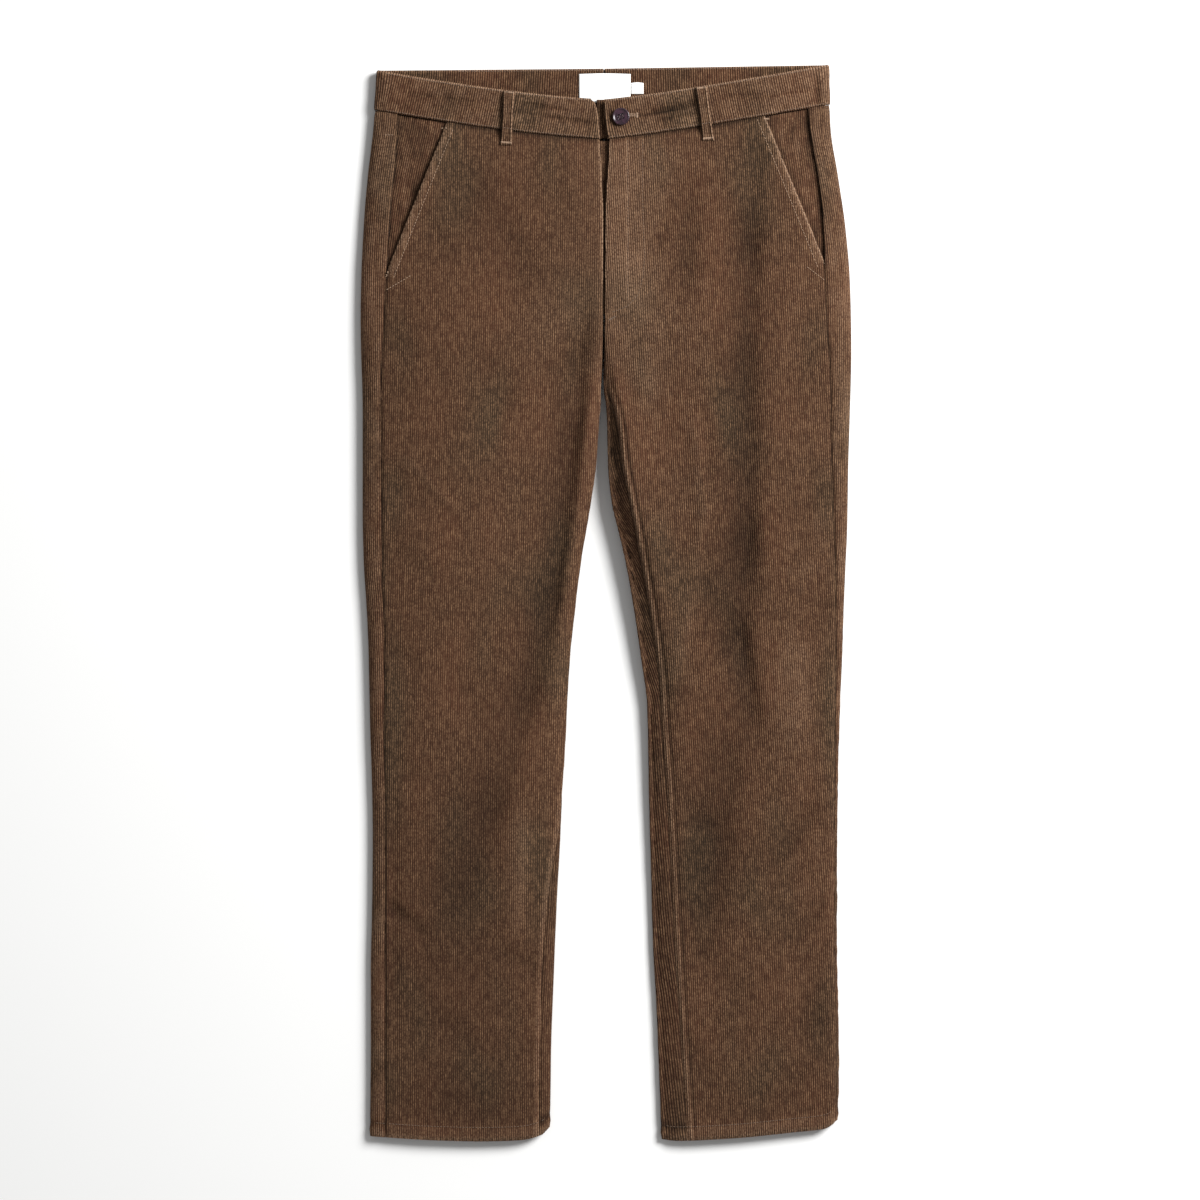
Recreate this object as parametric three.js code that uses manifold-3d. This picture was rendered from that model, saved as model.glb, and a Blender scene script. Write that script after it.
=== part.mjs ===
// Men's corduroy trousers laid flat on their back with the front up, in millimetres.
// Seen from above, +X is to the right, +Y towards the waist and +Z up from the surface that they lie on.
// Right and left are the wearer's, so the right leg lies on the -X side. "Down" is the distance from the
// top of the waist towards the hems, and "across" the distance from the middle of the garment outwards.
import * as THREE from "three";
import { mergeVertices } from "three/addons/utils/BufferGeometryUtils.js";
import Module from "manifold-3d";

const garmentLength = 1075;
const clothThickness = 1.5;
const seamGap = 0.3; // between two pieces that are sewn edge to edge
const layerGap = 0.35; // between two pieces that lie on each other
const hem = { depth: 20, thickness: 2.6 }; // the turned-up cloth is doubled

const waistband = { height: 40, thickness: 2.9, proud: 0.7, backSeam: 43.5 };
const flap = { reach: 34, stepFrom: 12, stepTo: 3 }; // the right waistband's end, under the left one
const beltLoop = { width: 11, length: 54, thickness: 1.5, arch: 1.7 };
const pocketFacing = { underBack: 8, underFront: 34, drop: 0.7, thickness: 1.3 };
const flyShield = { underRight: 14, underLeft: 36, fromDown: 76.5, toDown: 250, drop: 0.7, thickness: 1.3 };
const button = { radius: 8.8, rim: 1.7, rimHeight: 3.3, dishHeight: 2.3, holeRadius: 0.95, holeSpacing: 3.6 };
const buttonPlace = { x: 15, down: 52.7, clearance: 0.3 };
const waistLabel = { fromX: -27, toX: 24.5, fromDown: 9, toDown: 38, thickness: 0.8 };
const sizeLabel = { fromX: 25, toX: 37.5, fromDown: 18, toDown: 29, thickness: 0.7 };

// Every fold at the edge of the cloth is round. Its widest point is partway up.
const edge = { height: 0.45, topRadius: 11, floorRadius: 8, innerTopRadius: 11, innerFloorRadius: 9 };
// How far down the middle parts into two legs, on top and underneath, and the seat seam rises between.
const crotch = { topFrom: 262, topTo: 330, floorFrom: 200, floorTo: 300, seamFrom: 240, seamTo: 318 };

// Each half has a row for each section down the garment. Outer and inner are how far across the two
// edges of the cloth lie. Outseam is how far in from the outer edge the side seam lies, and inseam how
// far the inside leg seam lies from the inner edge, measured along the cloth: over the top, or
// underneath where negative. Above the crotch, the inner edge is the middle of the garment, and the
// inseam column gives the front edge of the half.
const sectionColumns = ["down", "outer", "outseam", "inner", "inseam"];
const rightSections = [
  [0, 228, 23, 2.2, 5.5],
  [60, 232, 24, 2.2, 5.5],
  [113, 238, 26, 2.2, 5.5],
  [161, 242, 26, 2.2, 5],
  [215, 244.5, 25, 2.2, 2.5],
  [255, 245, 23.5, 2.2, 0.5],
  [290, 244.5, 21, 2.7, 0.4],
  [318, 243.5, 19, 4.2, 0.4],
  [350, 243, 18.5, 6.5, -5],
  [401, 243, 19, 10, -10],
  [449, 243, 19.5, 17, -12],
  [497, 242, 18.5, 25, -12],
  [545, 239, 17, 31, -11],
  [593, 237, 16, 36, -9.5],
  [665, 235.5, 14, 40, -5],
  [713, 234, 13.5, 42.5, -1],
  [761, 233, 13, 45, 3.5],
  [833, 233.5, 13.5, 49, 11.5],
  [905, 235, 15, 52, 14.5],
  [989, 235, 15, 55, 13.5],
  [1075, 236, 16, 56, 13.5],
];
const leftSections = [
  [0, 222, 24, -1.8, 0.4],
  [60, 224, 21, -1.8, 0.4],
  [113, 232, 20, -1.8, 1.2],
  [161, 239, 22, -1.8, 1.2],
  [215, 243.5, 24.5, -1.8, 1],
  [255, 244.7, 24, -1.8, 0.5],
  [290, 245, 22, -2.3, 0.4],
  [318, 244.5, 20, -2.4, 4.8],
  [350, 243.5, 19, 0.8, 12],
  [401, 242, 16.5, 2, 17.5],
  [437, 241.5, 14.5, 5.5, 21.5],
  [465, 241, 13, 12, 20.5],
  [497, 239.5, 10, 19.5, 18.5],
  [545, 237.5, 8, 28, 18.5],
  [593, 236, 6, 35, 18.5],
  [640, 234, 4.5, 41, 16.5],
  [735, 231.5, 2.5, 43, 21],
  [807, 231, 2, 45, 22.5],
  [881, 231, 2, 47, 24],
  [935, 232, 2, 50, 24.5],
  [995, 233, 2, 52.5, 26],
  [1075, 231.5, 2, 55.5, 28.5],
];

// How high the cloth stands in the middle of each half and just inside its edge folds, and how far the
// back is held off the surface by the belt loops under it.
const loftColumns = ["down", "crown", "fold", "lift"];
const loft = [
  [0, 15, 12.5, 2.6],
  [58, 16.5, 12.5, 2.6],
  [90, 18, 12.5, 1.2],
  [130, 19.5, 12.5, 0],
  [220, 21, 12.8, 0],
  [318, 20.5, 13, 0],
  [450, 19.5, 12.8, 0],
  [600, 17.5, 12, 0],
  [800, 15, 11, 0],
  [950, 13, 10.5, 0],
  [1075, 11.5, 10, 0],
];

// Soft troughs, or ridges where the depth is negative: where each one starts and ends, how wide it is
// to either side, and how deep.
const creaseColumns = ["fromX", "fromY", "toX", "toY", "halfWidth", "depth"];
const creases = [
  [148, 430, 124, -30, 20, 3],
  [152, -90, 112, -330, 22, 2.2],
  [-48, 100, -70, -67, 13, 1.8],
  [-74, -80, -128, -235, 20, 2],
  [-200, 300, -205, 40, 20, 1.8],
  [92, 170, 69, -75, 14, -1.2],
  [232, -215, 186, -268, 10, 1.2],
  [-110, 330, -95, 120, 24, -1.4],
];

// The waist seam is this far down at the side and at the front, and bends between them. The pocket
// opening runs straight from its top to its bottom. The hem's rows say how far down it is.
const halfRight = {
  side: -1,
  columns: columnsOf(sectionColumns, rightSections),
  waist: { side: 45.5, front: 75, bend: 1.4 },
  pocket: { topAcross: 159.5, topDown: 60, bottomAcross: 221, bottomDown: 213 },
  hemAt: columnsOf(["across", "down"], [[56, 1061], [65, 1069], [88, 1074], [125, 1075], [168, 1074], [236, 1070]]),
};
const halfLeft = {
  side: 1,
  columns: columnsOf(sectionColumns, leftSections),
  waist: { side: 40, front: 75, bend: 1.15 },
  pocket: { topAcross: 158, topDown: 50, bottomAcross: 220, bottomDown: 202 },
  hemAt: columnsOf(["across", "down"], [[55, 1073], [70, 1074.5], [126, 1072], [187, 1066], [218, 1062.5], [232, 1054]]),
};
const loftAt = columnsOf(loftColumns, loft);

const colours = { cloth: 0x5d4335, inside: 0x54402f, button: 0x2b1a22, label: 0xf2f1ee };

function mix(a, b, share) {
  return a + (b - a) * share;
}

function clamp(value) {
  return Math.min(1, Math.max(0, value));
}

// Rises smoothly from 0 to 1 as the value passes from one limit to the other.
function ease(value, from, to) {
  const t = clamp((value - from) / (to - from));
  return t * t * (3 - 2 * t);
}

// A quarter ellipse's rise: 0 at its edge and 1 at its radius.
function quarter(share) {
  const t = 1 - clamp(share);
  return Math.sqrt(1 - t * t);
}

function evenly(count, from = 0, to = 1) {
  return Array.from({ length: count + 1 }, (_, i) => mix(from, to, i / count));
}

// A table's columns as smooth functions of its first one, which never overshoot its rows.
function columnsOf(names, rows) {
  const keys = rows.map((row) => row[0]);
  const read = {};
  names.slice(1).forEach((name, column) => {
    const values = rows.map((row) => row[column + 1]);
    const slopes = keys.slice(1).map((key, k) => (values[k + 1] - values[k]) / (key - keys[k]));
    const tangents = keys.map((_, k) => {
      const before = slopes[k - 1] ?? slopes[k];
      const after = slopes[k] ?? slopes[k - 1];
      return before * after <= 0 ? 0 : (2 * before * after) / (before + after);
    });
    read[name] = (at) => {
      const key = Math.min(keys.at(-1), Math.max(keys[0], at));
      const k = Math.min(keys.length - 2, keys.findLastIndex((start) => start <= key));
      const span = keys[k + 1] - keys[k];
      const t = (key - keys[k]) / span;
      const hold = 1 - t;
      return (
        values[k] * hold * hold * (1 + 2 * t) +
        values[k + 1] * t * t * (3 - 2 * t) +
        tangents[k] * span * t * hold * hold -
        tangents[k + 1] * span * t * t * hold
      );
    };
  });
  return read;
}

// How deep the creases are at a place seen from above.
function creaseDepth(x, y) {
  let total = 0;
  for (const [fromX, fromY, toX, toY, halfWidth, depth] of creases) {
    const [runX, runY] = [toX - fromX, toY - fromY];
    const length = Math.hypot(runX, runY);
    const along = ((x - fromX) * runX + (y - fromY) * runY) / length ** 2;
    const beside = ((x - fromX) * runY - (y - fromY) * runX) / length;
    const ends = ease(along, -0.1, 0.25) * ease(along, 1.1, 0.75);
    total += depth * ends * Math.exp(-((beside / halfWidth) ** 2));
  }
  return total;
}

// The top of a half's cloth at a place across from its outer to its inner edge.
function topHeight(half, down, across) {
  const [outer, inner] = [half.columns.outer(down), half.columns.inner(down)];
  const [crown, fold, lift] = [loftAt.crown(down), loftAt.fold(down), loftAt.lift(down)];
  const parted = ease(down, crotch.topFrom, crotch.topTo);
  const share = (outer - across) / (outer - inner);
  const rise = (t) => Math.sin((Math.PI / 2) * clamp(t / 0.42));
  const dome = rise(share) * (1 - parted * (1 - rise(1 - share)));
  const inwards = ease(outer - across, 8, 45) * (1 - parted * (1 - ease(across - inner, 8, 40)));
  const crease = creaseDepth(half.side * across, garmentLength / 2 - down) * inwards;
  const flat = fold + (crown - fold) * dome - crease;
  const foldHeight = lift + edge.height * fold;
  const upTo = mix(foldHeight, flat, quarter((outer - across) / edge.topRadius));
  const innerEdge = mix(upTo, foldHeight, parted);
  return mix(innerEdge, upTo, quarter((across - inner) / edge.innerTopRadius));
}

// The underside of a half's cloth: flat on the surface, and rising at its outer and inner folds.
function floorHeight(half, down, across) {
  const [fold, lift] = [loftAt.fold(down), loftAt.lift(down)];
  const parted = ease(down, crotch.floorFrom, crotch.floorTo);
  const outerRise = 1 - quarter((half.columns.outer(down) - across) / edge.floorRadius);
  const innerRise = 1 - quarter((across - half.columns.inner(down)) / edge.innerFloorRadius);
  return lift + edge.height * fold * Math.max(outerRise, innerRise * parted);
}

// A cross-section of a half: a path from the outer edge over the top to the inner edge, back
// underneath, and over the top once more. Arc is the length along it. Cost also grows where it bends,
// so that columns shared out by cost follow the folds.
function sectionAt(half, down) {
  const [outer, inner] = [half.columns.outer(down), half.columns.inner(down)];
  const corner = evenly(10).map((t) => 1 - Math.cos((Math.PI / 2) * t));
  const spread = (outerRadius, innerRadius) => [
    ...corner.map((c) => outer - outerRadius * c),
    ...evenly(40, outer - outerRadius, inner + innerRadius).slice(1, -1),
    ...corner.map((c) => inner + innerRadius * c).reverse(),
  ];
  const top = spread(edge.topRadius, edge.innerTopRadius).map((w) => [w, topHeight(half, down, w)]);
  const floor = spread(edge.floorRadius, edge.innerFloorRadius).map((w) => [w, floorHeight(half, down, w)]);
  const points = [...top, ...floor.reverse(), ...top.slice(1)];
  const arc = [0];
  const cost = [0];
  let heading = null;
  for (let i = 1; i < points.length; i++) {
    const [stepW, stepZ] = [points[i][0] - points[i - 1][0], points[i][1] - points[i - 1][1]];
    const length = Math.hypot(stepW, stepZ);
    const angle = length > 1e-6 ? Math.atan2(stepZ, stepW) : heading;
    const turn = heading === null ? 0 : Math.abs(Math.atan2(Math.sin(angle - heading), Math.cos(angle - heading)));
    heading = angle;
    arc.push(arc[i - 1] + length);
    cost.push(cost[i - 1] + length / 22 + turn / 0.6);
  }
  const topCount = top.length;
  const perimeter = arc[topCount + floor.length - 1];
  return { down, points, arc, cost, topCount, floorCount: floor.length, perimeter };
}

// The value in one list where another, rising one reaches a given value.
function lookUp(keys, values, at) {
  const found = keys.findIndex((key) => key >= at);
  const k = found < 0 ? keys.length - 1 : Math.max(1, found);
  const span = keys[k] - keys[k - 1];
  return mix(values[k - 1], values[k], span > 0 ? clamp((at - keys[k - 1]) / span) : 0);
}

// How far along the path a place lies, on top or underneath.
function arcOnTop(section, across) {
  const keys = section.points.slice(0, section.topCount).map(([w]) => -w);
  return lookUp(keys, section.arc, -across);
}

function arcUnderneath(section, across) {
  const from = section.topCount;
  const keys = section.points.slice(from, from + section.floorCount).map(([w]) => w);
  return lookUp(keys, section.arc.slice(from), across);
}

function pointAt(section, arc) {
  return [0, 1].map((i) => lookUp(section.arc, section.points.map((point) => point[i]), arc));
}

// A place on the path, moved in through the cloth by a depth. Where the cloth folds sharply at the
// crotch, its direction is taken over a longer stretch, which keeps the inside of the wall smooth.
function placeAt(half, section, arc, depth) {
  const reach = mix(0.1, 2.5, ease(section.down, 215, 270));
  const [w, z] = pointAt(section, arc);
  const [beforeW, beforeZ] = pointAt(section, arc < reach ? arc - reach + section.perimeter : arc - reach);
  const [afterW, afterZ] = pointAt(section, arc + reach);
  const length = Math.hypot(afterW - beforeW, afterZ - beforeZ);
  const across = w - ((afterZ - beforeZ) / length) * depth;
  const height = z + ((afterW - beforeW) / length) * depth;
  return new THREE.Vector3(half.side * across, garmentLength / 2 - section.down, height);
}

// Where the seams run on a section, as lengths along its path.
function outseamArc(half, section) {
  return arcOnTop(section, half.columns.outer(section.down) - half.columns.outseam(section.down));
}

function frontEndArc(half, section) {
  return section.arc[section.topCount - 1] - half.columns.inseam(section.down);
}

function backEndArc(half, section) {
  const seat = arcUnderneath(section, half.columns.inner(section.down) + 0.2);
  const inseam = frontEndArc(half, section) + seamGap;
  return mix(seat, inseam, ease(section.down, crotch.seamFrom, crotch.seamTo));
}

// How far down the waistband's seam lies, on top or underneath.
function waistSeam(half, across, down, onTop) {
  const share = clamp(across / half.columns.outer(down));
  return onTop ? mix(half.waist.front, half.waist.side, share ** half.waist.bend)
    : mix(waistband.backSeam, half.waist.side, share);
}

// A closed wall of cloth through rows and columns of places, each with an outer and an inner point.
function wall(rows, columns, place) {
  const grid = rows.map((row) => columns.map((column) => place(row, column)));
  const [r, c] = [rows.length, columns.length];
  const positions = [0, 1].flatMap((layer) => grid.flat().flatMap((pair) => pair[layer].toArray()));
  const at = (layer, i, j) => layer * r * c + i * c + j;
  const index = [];
  const quad = (p, q, s, t) => index.push(p, q, s, p, s, t);
  for (let i = 0; i < r - 1; i++) {
    for (let j = 0; j < c - 1; j++) {
      quad(at(0, i, j), at(0, i + 1, j), at(0, i + 1, j + 1), at(0, i, j + 1));
      quad(at(1, i, j), at(1, i, j + 1), at(1, i + 1, j + 1), at(1, i + 1, j));
    }
    quad(at(0, i, 0), at(1, i, 0), at(1, i + 1, 0), at(0, i + 1, 0));
    quad(at(0, i, c - 1), at(0, i + 1, c - 1), at(1, i + 1, c - 1), at(1, i, c - 1));
  }
  for (let j = 0; j < c - 1; j++) {
    quad(at(0, 0, j), at(0, 0, j + 1), at(1, 0, j + 1), at(1, 0, j));
    quad(at(0, r - 1, j), at(1, r - 1, j), at(1, r - 1, j + 1), at(0, r - 1, j + 1));
  }
  return facingOut(new THREE.BufferGeometry()
    .setAttribute("position", new THREE.Float32BufferAttribute(positions, 3))
    .setIndex(index));
}

// Turns a closed surface's faces round if they point in, as on one of two mirrored halves.
function facingOut(geometry) {
  const index = geometry.index.array;
  const corner = (k) => new THREE.Vector3().fromBufferAttribute(geometry.attributes.position, index[k]);
  let volume = 0;
  for (let k = 0; k < index.length; k += 3) volume += corner(k).dot(corner(k + 1).cross(corner(k + 2)));
  if (volume < 0) for (let k = 0; k < index.length; k += 3) [index[k], index[k + 1]] = [index[k + 1], index[k]];
  geometry.computeVertexNormals();
  return geometry;
}

// A wall of cloth that follows the sections between two seams. Its place down the garment depends on
// where across it is, so each place is found in a few passes.
function clothBetween(half, rows, columnCount, seams, downAt, depths) {
  return wall(rows, evenly(columnCount), (row, column) => {
    let section = sectionAt(half, downAt(row, half.columns.outer(60) * 0.5, 60, true));
    let arc = 0;
    for (let pass = 0; pass < 5; pass++) {
      const [from, to] = seams(section).map((seam) => lookUp(section.arc, section.cost, seam));
      arc = lookUp(section.cost, section.arc, mix(from, to, column));
      const across = pointAt(section, arc)[0];
      const onTop = arc % section.perimeter < section.arc[section.topCount - 1];
      if (pass < 4) section = sectionAt(half, downAt(row, across, section.down, onTop));
    }
    return depths(row).map((depth) => placeAt(half, section, arc, depth));
  });
}

// The rows of a leg panel are closer together over the crotch, and the last ones make the hem.
const panelLength = garmentLength - waistband.backSeam;
const hemStart = 1 - hem.depth / panelLength;
const hemStep = hemStart + 0.001;
const panelRows = [
  ...evenly(5, 0, 0.15).slice(0, -1),
  ...evenly(9, 0.15, 0.31).slice(0, -1),
  ...evenly(15, 0.31, hemStart),
  hemStep,
  1,
];

function legPanel(half, columnCount, seams) {
  const downAt = (row, across, down, onTop) => {
    const dip = waistSeam(half, across, down, onTop) + seamGap - waistband.backSeam;
    return mix(waistband.backSeam, half.hemAt.down(across), row) + dip * (1 - ease(row, 0, 0.2));
  };
  const depths = (row) => [0, row >= hemStep ? hem.thickness : clothThickness];
  return clothBetween(half, panelRows, columnCount, seams, downAt, depths);
}

// How far across the edge of the pocket opening lies.
function pocketAcross(half, down) {
  const { topAcross, topDown, bottomAcross, bottomDown } = half.pocket;
  return mix(topAcross, bottomAcross, (down - topDown) / (bottomDown - topDown));
}

function frontPanel(half) {
  return legPanel(half, 14, (section) => {
    const slant = arcOnTop(section, pocketAcross(half, section.down));
    return [Math.max(outseamArc(half, section), slant), frontEndArc(half, section)];
  });
}

function backPanel(half) {
  return legPanel(half, 19, (section) => {
    const outseam = section.perimeter + outseamArc(half, section) - seamGap;
    return [outseam, backEndArc(half, section)];
  });
}

// The cloth that shows in the pocket opening, a layer below the front and the back.
function pocketFacingPanel(half) {
  const depth = clothThickness + pocketFacing.drop;
  const seams = (section) => {
    const from = half.columns.outer(section.down) - half.columns.outseam(section.down);
    const mouth = Math.min(pocketAcross(half, section.down), from);
    return [from + pocketFacing.underBack, mouth - pocketFacing.underFront].map((w) => arcOnTop(section, w));
  };
  const downAt = (row, across, down) => mix(waistSeam(half, across, down, true) + 0.8, half.pocket.bottomDown + 8, row);
  return clothBetween(half, evenly(8), 6, seams, downAt, () => [depth, depth + pocketFacing.thickness]);
}

// The height of the garment's top anywhere seen from above.
function heightAt(x, down) {
  const half = x < -halfRight.columns.inner(down) ? halfRight : halfLeft;
  const across = Math.max(half.side * x, half.columns.inner(down) + 0.1);
  return topHeight(half, down, across);
}

// A layer of cloth in the middle of the front, given how deep it lies under the garment's top.
function middleLayer(rows, columns, thickness, placeOf) {
  return wall(rows, columns, (row, column) => {
    const { x, down, depth } = placeOf(row, column);
    const z = heightAt(x, down) - depth;
    return [0, thickness].map((below) => new THREE.Vector3(x, garmentLength / 2 - down, z - below));
  });
}

// A waistband half goes from the front round the side to the middle of the back.
function waistbandHalf(half, frontEdge) {
  const seams = (section) => [
    section.perimeter + arcOnTop(section, frontEdge),
    arcUnderneath(section, half.columns.inner(section.down) + 0.2),
  ];
  const downAt = (row, across, down, onTop) => waistSeam(half, across, down, onTop) - waistband.height * (1 - row);
  const depths = () => [-waistband.proud, waistband.thickness - waistband.proud];
  return clothBetween(half, evenly(4), 28, seams, downAt, depths);
}

// The right waistband's end steps down a layer and goes on under the left one, to carry the button.
function waistbandFlap() {
  const step = waistband.thickness + layerGap;
  const top = halfRight.waist.front - waistband.height;
  return middleLayer(evenly(4), [-11.7, -9.5, -7.5, -5.5, -4, 4, 14, 24, flap.reach], waistband.thickness, (row, x) => ({
    x,
    down: top + (waistband.height - 1) * row,
    depth: step * ease(x, -flap.stepFrom, -flap.stepTo) - waistband.proud,
  }));
}

// Cloth between the two fly edges and behind them.
function flyShieldLayer() {
  const rows = evenly(7);
  return middleLayer(rows, evenly(5, -flyShield.underRight, flyShield.underLeft), flyShield.thickness, (row, x) => ({
    x,
    down: mix(flyShield.fromDown, flyShield.toDown - 45 * ease(x, 0, flyShield.underLeft), row),
    depth: clothThickness + flyShield.drop,
  }));
}

// A belt loop on the front, from its middle's place at the waistband's top, with how far it leans
// outwards. It is sewn down at both ends and arches over the waistband between them.
function frontLoop(half, across, lean) {
  const top = waistSeam(half, across, 30, true) - waistband.height + 0.6;
  const standing = columnsOf(["share", "arch"], [[0, 0.1], [0.12, 1], [0.7, 1], [0.9, 0.15], [1, 0]]);
  return wall([0, 0.05, 0.14, 0.4, 0.65, 0.76, 0.86, 1], [-0.5, 0, 0.5], (row, column) => {
    const down = top + beltLoop.length * row;
    const x = half.side * (across + lean * row) + beltLoop.width * column;
    const overBand = waistband.proud * (1 - ease(row, 0.78, 0.9));
    const z = heightAt(x, down) + layerGap + overBand + beltLoop.arch * standing.arch(row);
    return [beltLoop.thickness, 0].map((up) => new THREE.Vector3(x, garmentLength / 2 - down, z + up));
  });
}

// A belt loop on the back, pressed flat between the garment and the surface.
function backLoop(middle) {
  return wall([0, 1], [-0.5, 0.5], (row, column) => {
    const down = 4.5 + (beltLoop.length - 2) * row;
    const x = middle + beltLoop.width * column;
    return [0, beltLoop.thickness].map((z) => new THREE.Vector3(x, garmentLength / 2 - down, z));
  });
}

// A label on the inside of the back waistband.
function labelOnWaistband(label) {
  const z = loftAt.lift(20) + waistband.thickness - waistband.proud + layerGap;
  return wall([label.fromDown, label.toDown], [label.fromX, label.toX], (down, x) => (
    [label.thickness, 0].map((up) => new THREE.Vector3(x, garmentLength / 2 - down, z + up))
  ));
}

// A moulded button with a raised rim, a dished middle and four holes.
async function roundButton() {
  const wasm = await Module();
  wasm.setup();
  const toSolid = (geometry) => {
    geometry.deleteAttribute("normal");
    geometry.deleteAttribute("uv");
    const merged = mergeVertices(geometry, 1e-4);
    const vertProperties = new Float32Array(merged.attributes.position.array);
    return new wasm.Manifold(new wasm.Mesh({ numProp: 3, vertProperties, triVerts: new Uint32Array(merged.index.array) }));
  };
  const { radius, rim, rimHeight, dishHeight } = button;
  const profile = [
    [0, 0],
    [radius - 1.2, 0],
    [radius - 0.3, 0.6],
    [radius, 1.6],
    [radius - 0.3, 2.7],
    [radius - 0.9, rimHeight],
    [radius - rim, rimHeight - 0.2],
    [radius - rim - 0.7, dishHeight],
    [0, dishHeight],
  ];
  let solid = toSolid(new THREE.LatheGeometry(profile.map(([r, y]) => new THREE.Vector2(r, y)), 28));
  const spots = [[-1, -1], [1, -1], [1, 1], [-1, 1]];
  for (const [i, j] of spots) {
    const hole = new THREE.CylinderGeometry(button.holeRadius, button.holeRadius, 9, 10);
    hole.translate((i * button.holeSpacing) / 2, 1, (j * button.holeSpacing) / 2);
    solid = solid.subtract(toSolid(hole));
  }
  const mesh = solid.getMesh();
  const geometry = new THREE.BufferGeometry();
  geometry.setAttribute("position", new THREE.BufferAttribute(mesh.vertProperties, 3));
  geometry.setIndex(new THREE.BufferAttribute(mesh.triVerts, 1));
  geometry.rotateX(Math.PI / 2);
  return geometry;
}

const garment = new THREE.Group();

function add(name, geometry, colour = colours.cloth, roughness = 0.95) {
  const material = new THREE.MeshStandardMaterial({ color: colour, roughness, metalness: 0 });
  const mesh = new THREE.Mesh(geometry, material);
  mesh.name = name;
  garment.add(mesh);
  return mesh;
}

for (const [name, half] of [["right", halfRight], ["left", halfLeft]]) {
  add(`front_${name}`, frontPanel(half));
  add(`back_${name}`, backPanel(half));
  add(`pocket_facing_${name}`, pocketFacingPanel(half));
}
add("waistband_right", waistbandHalf(halfRight, flap.stepFrom));
add("waistband_left", waistbandHalf(halfLeft, -1));
add("waistband_underlap", waistbandFlap());
add("fly_shield", flyShieldLayer(), colours.inside);
add("belt_loop_front_right", frontLoop(halfRight, 96.5, 3));
add("belt_loop_front_left", frontLoop(halfLeft, 95, 7.3));
add("belt_loop_back_right", backLoop(-112));
add("belt_loop_back_left", backLoop(112));
add("belt_loop_back_middle", backLoop(-2));
add("waist_label", labelOnWaistband(waistLabel), colours.label, 0.8);
add("size_label", labelOnWaistband(sizeLabel), colours.label, 0.8);

const buttonMesh = add("button", await roundButton(), colours.button, 0.25);
const under = heightAt(buttonPlace.x, buttonPlace.down + button.radius) + waistband.proud;
const above = heightAt(buttonPlace.x, buttonPlace.down - button.radius) + waistband.proud;
buttonMesh.rotation.x = Math.atan2(above - under, 2 * button.radius);
buttonMesh.position.set(buttonPlace.x, garmentLength / 2 - buttonPlace.down, (above + under) / 2 + buttonPlace.clearance);

export default garment;
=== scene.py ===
import math
import bpy
import bmesh
import numpy as np
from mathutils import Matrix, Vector
from mathutils.bvhtree import BVHTree


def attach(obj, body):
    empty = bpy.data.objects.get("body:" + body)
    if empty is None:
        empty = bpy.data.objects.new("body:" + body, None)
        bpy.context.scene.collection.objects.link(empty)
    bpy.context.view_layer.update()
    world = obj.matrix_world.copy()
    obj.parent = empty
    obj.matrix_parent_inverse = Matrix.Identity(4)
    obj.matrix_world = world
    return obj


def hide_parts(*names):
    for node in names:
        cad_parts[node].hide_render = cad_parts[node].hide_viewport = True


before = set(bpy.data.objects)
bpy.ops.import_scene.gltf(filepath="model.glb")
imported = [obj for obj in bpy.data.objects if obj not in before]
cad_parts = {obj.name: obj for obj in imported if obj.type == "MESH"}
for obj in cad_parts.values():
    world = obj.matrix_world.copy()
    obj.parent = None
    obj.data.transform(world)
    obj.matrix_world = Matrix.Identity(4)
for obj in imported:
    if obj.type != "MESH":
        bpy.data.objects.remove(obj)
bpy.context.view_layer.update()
print("stage: frame loaded")

# Brown corduroy trousers laid flat, front up, seen from straight above.
# Everything below is in millimetres until a mesh is made. Right and left are the wearer's, so the right
# leg is on the -X side. "down" runs from the top of the waist to the hems, "across" outwards from the
# middle, and "s" along a cross-section: from its outer edge over the top to its inner edge, and back
# underneath.
mm = 0.001
garmentLength = 1075.0
clothThickness = 1.5
seamGap = 0.3
layerGap = 0.35
waistband = {"height": 40.0, "thickness": 2.9, "proud": 0.7, "backSeam": 43.5}
cords = {"pitch": 2.15, "relief": 0.42, "perCord": 4}  # about 12 cords to the inch

sectionColumns = ["down", "outer", "outseam", "inner", "inseam"]
rightSections = [
    [0, 228, 23, 2.2, 5.5],
    [60, 232, 24, 2.2, 5.5],
    [113, 238, 26, 2.2, 5.5],
    [161, 242, 26, 2.2, 5],
    [215, 244.5, 25, 2.2, 2.5],
    [255, 245, 23.5, 2.2, 0.5],
    [290, 244.5, 21, 2.7, 0.4],
    [318, 243.5, 19, 4.2, 0.4],
    [350, 243, 18.5, 6.5, -5],
    [401, 243, 19, 10, -10],
    [449, 243, 19.5, 17, -12],
    [497, 242, 18.5, 25, -12],
    [545, 239, 17, 31, -11],
    [593, 237, 16, 36, -9.5],
    [665, 235.5, 14, 40, -5],
    [713, 234, 13.5, 42.5, -1],
    [761, 233, 13, 45, 3.5],
    [833, 233.5, 13.5, 49, 11.5],
    [905, 235, 15, 52, 14.5],
    [989, 235, 15, 55, 13.5],
    [1075, 236, 16, 56, 13.5],
]
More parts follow.
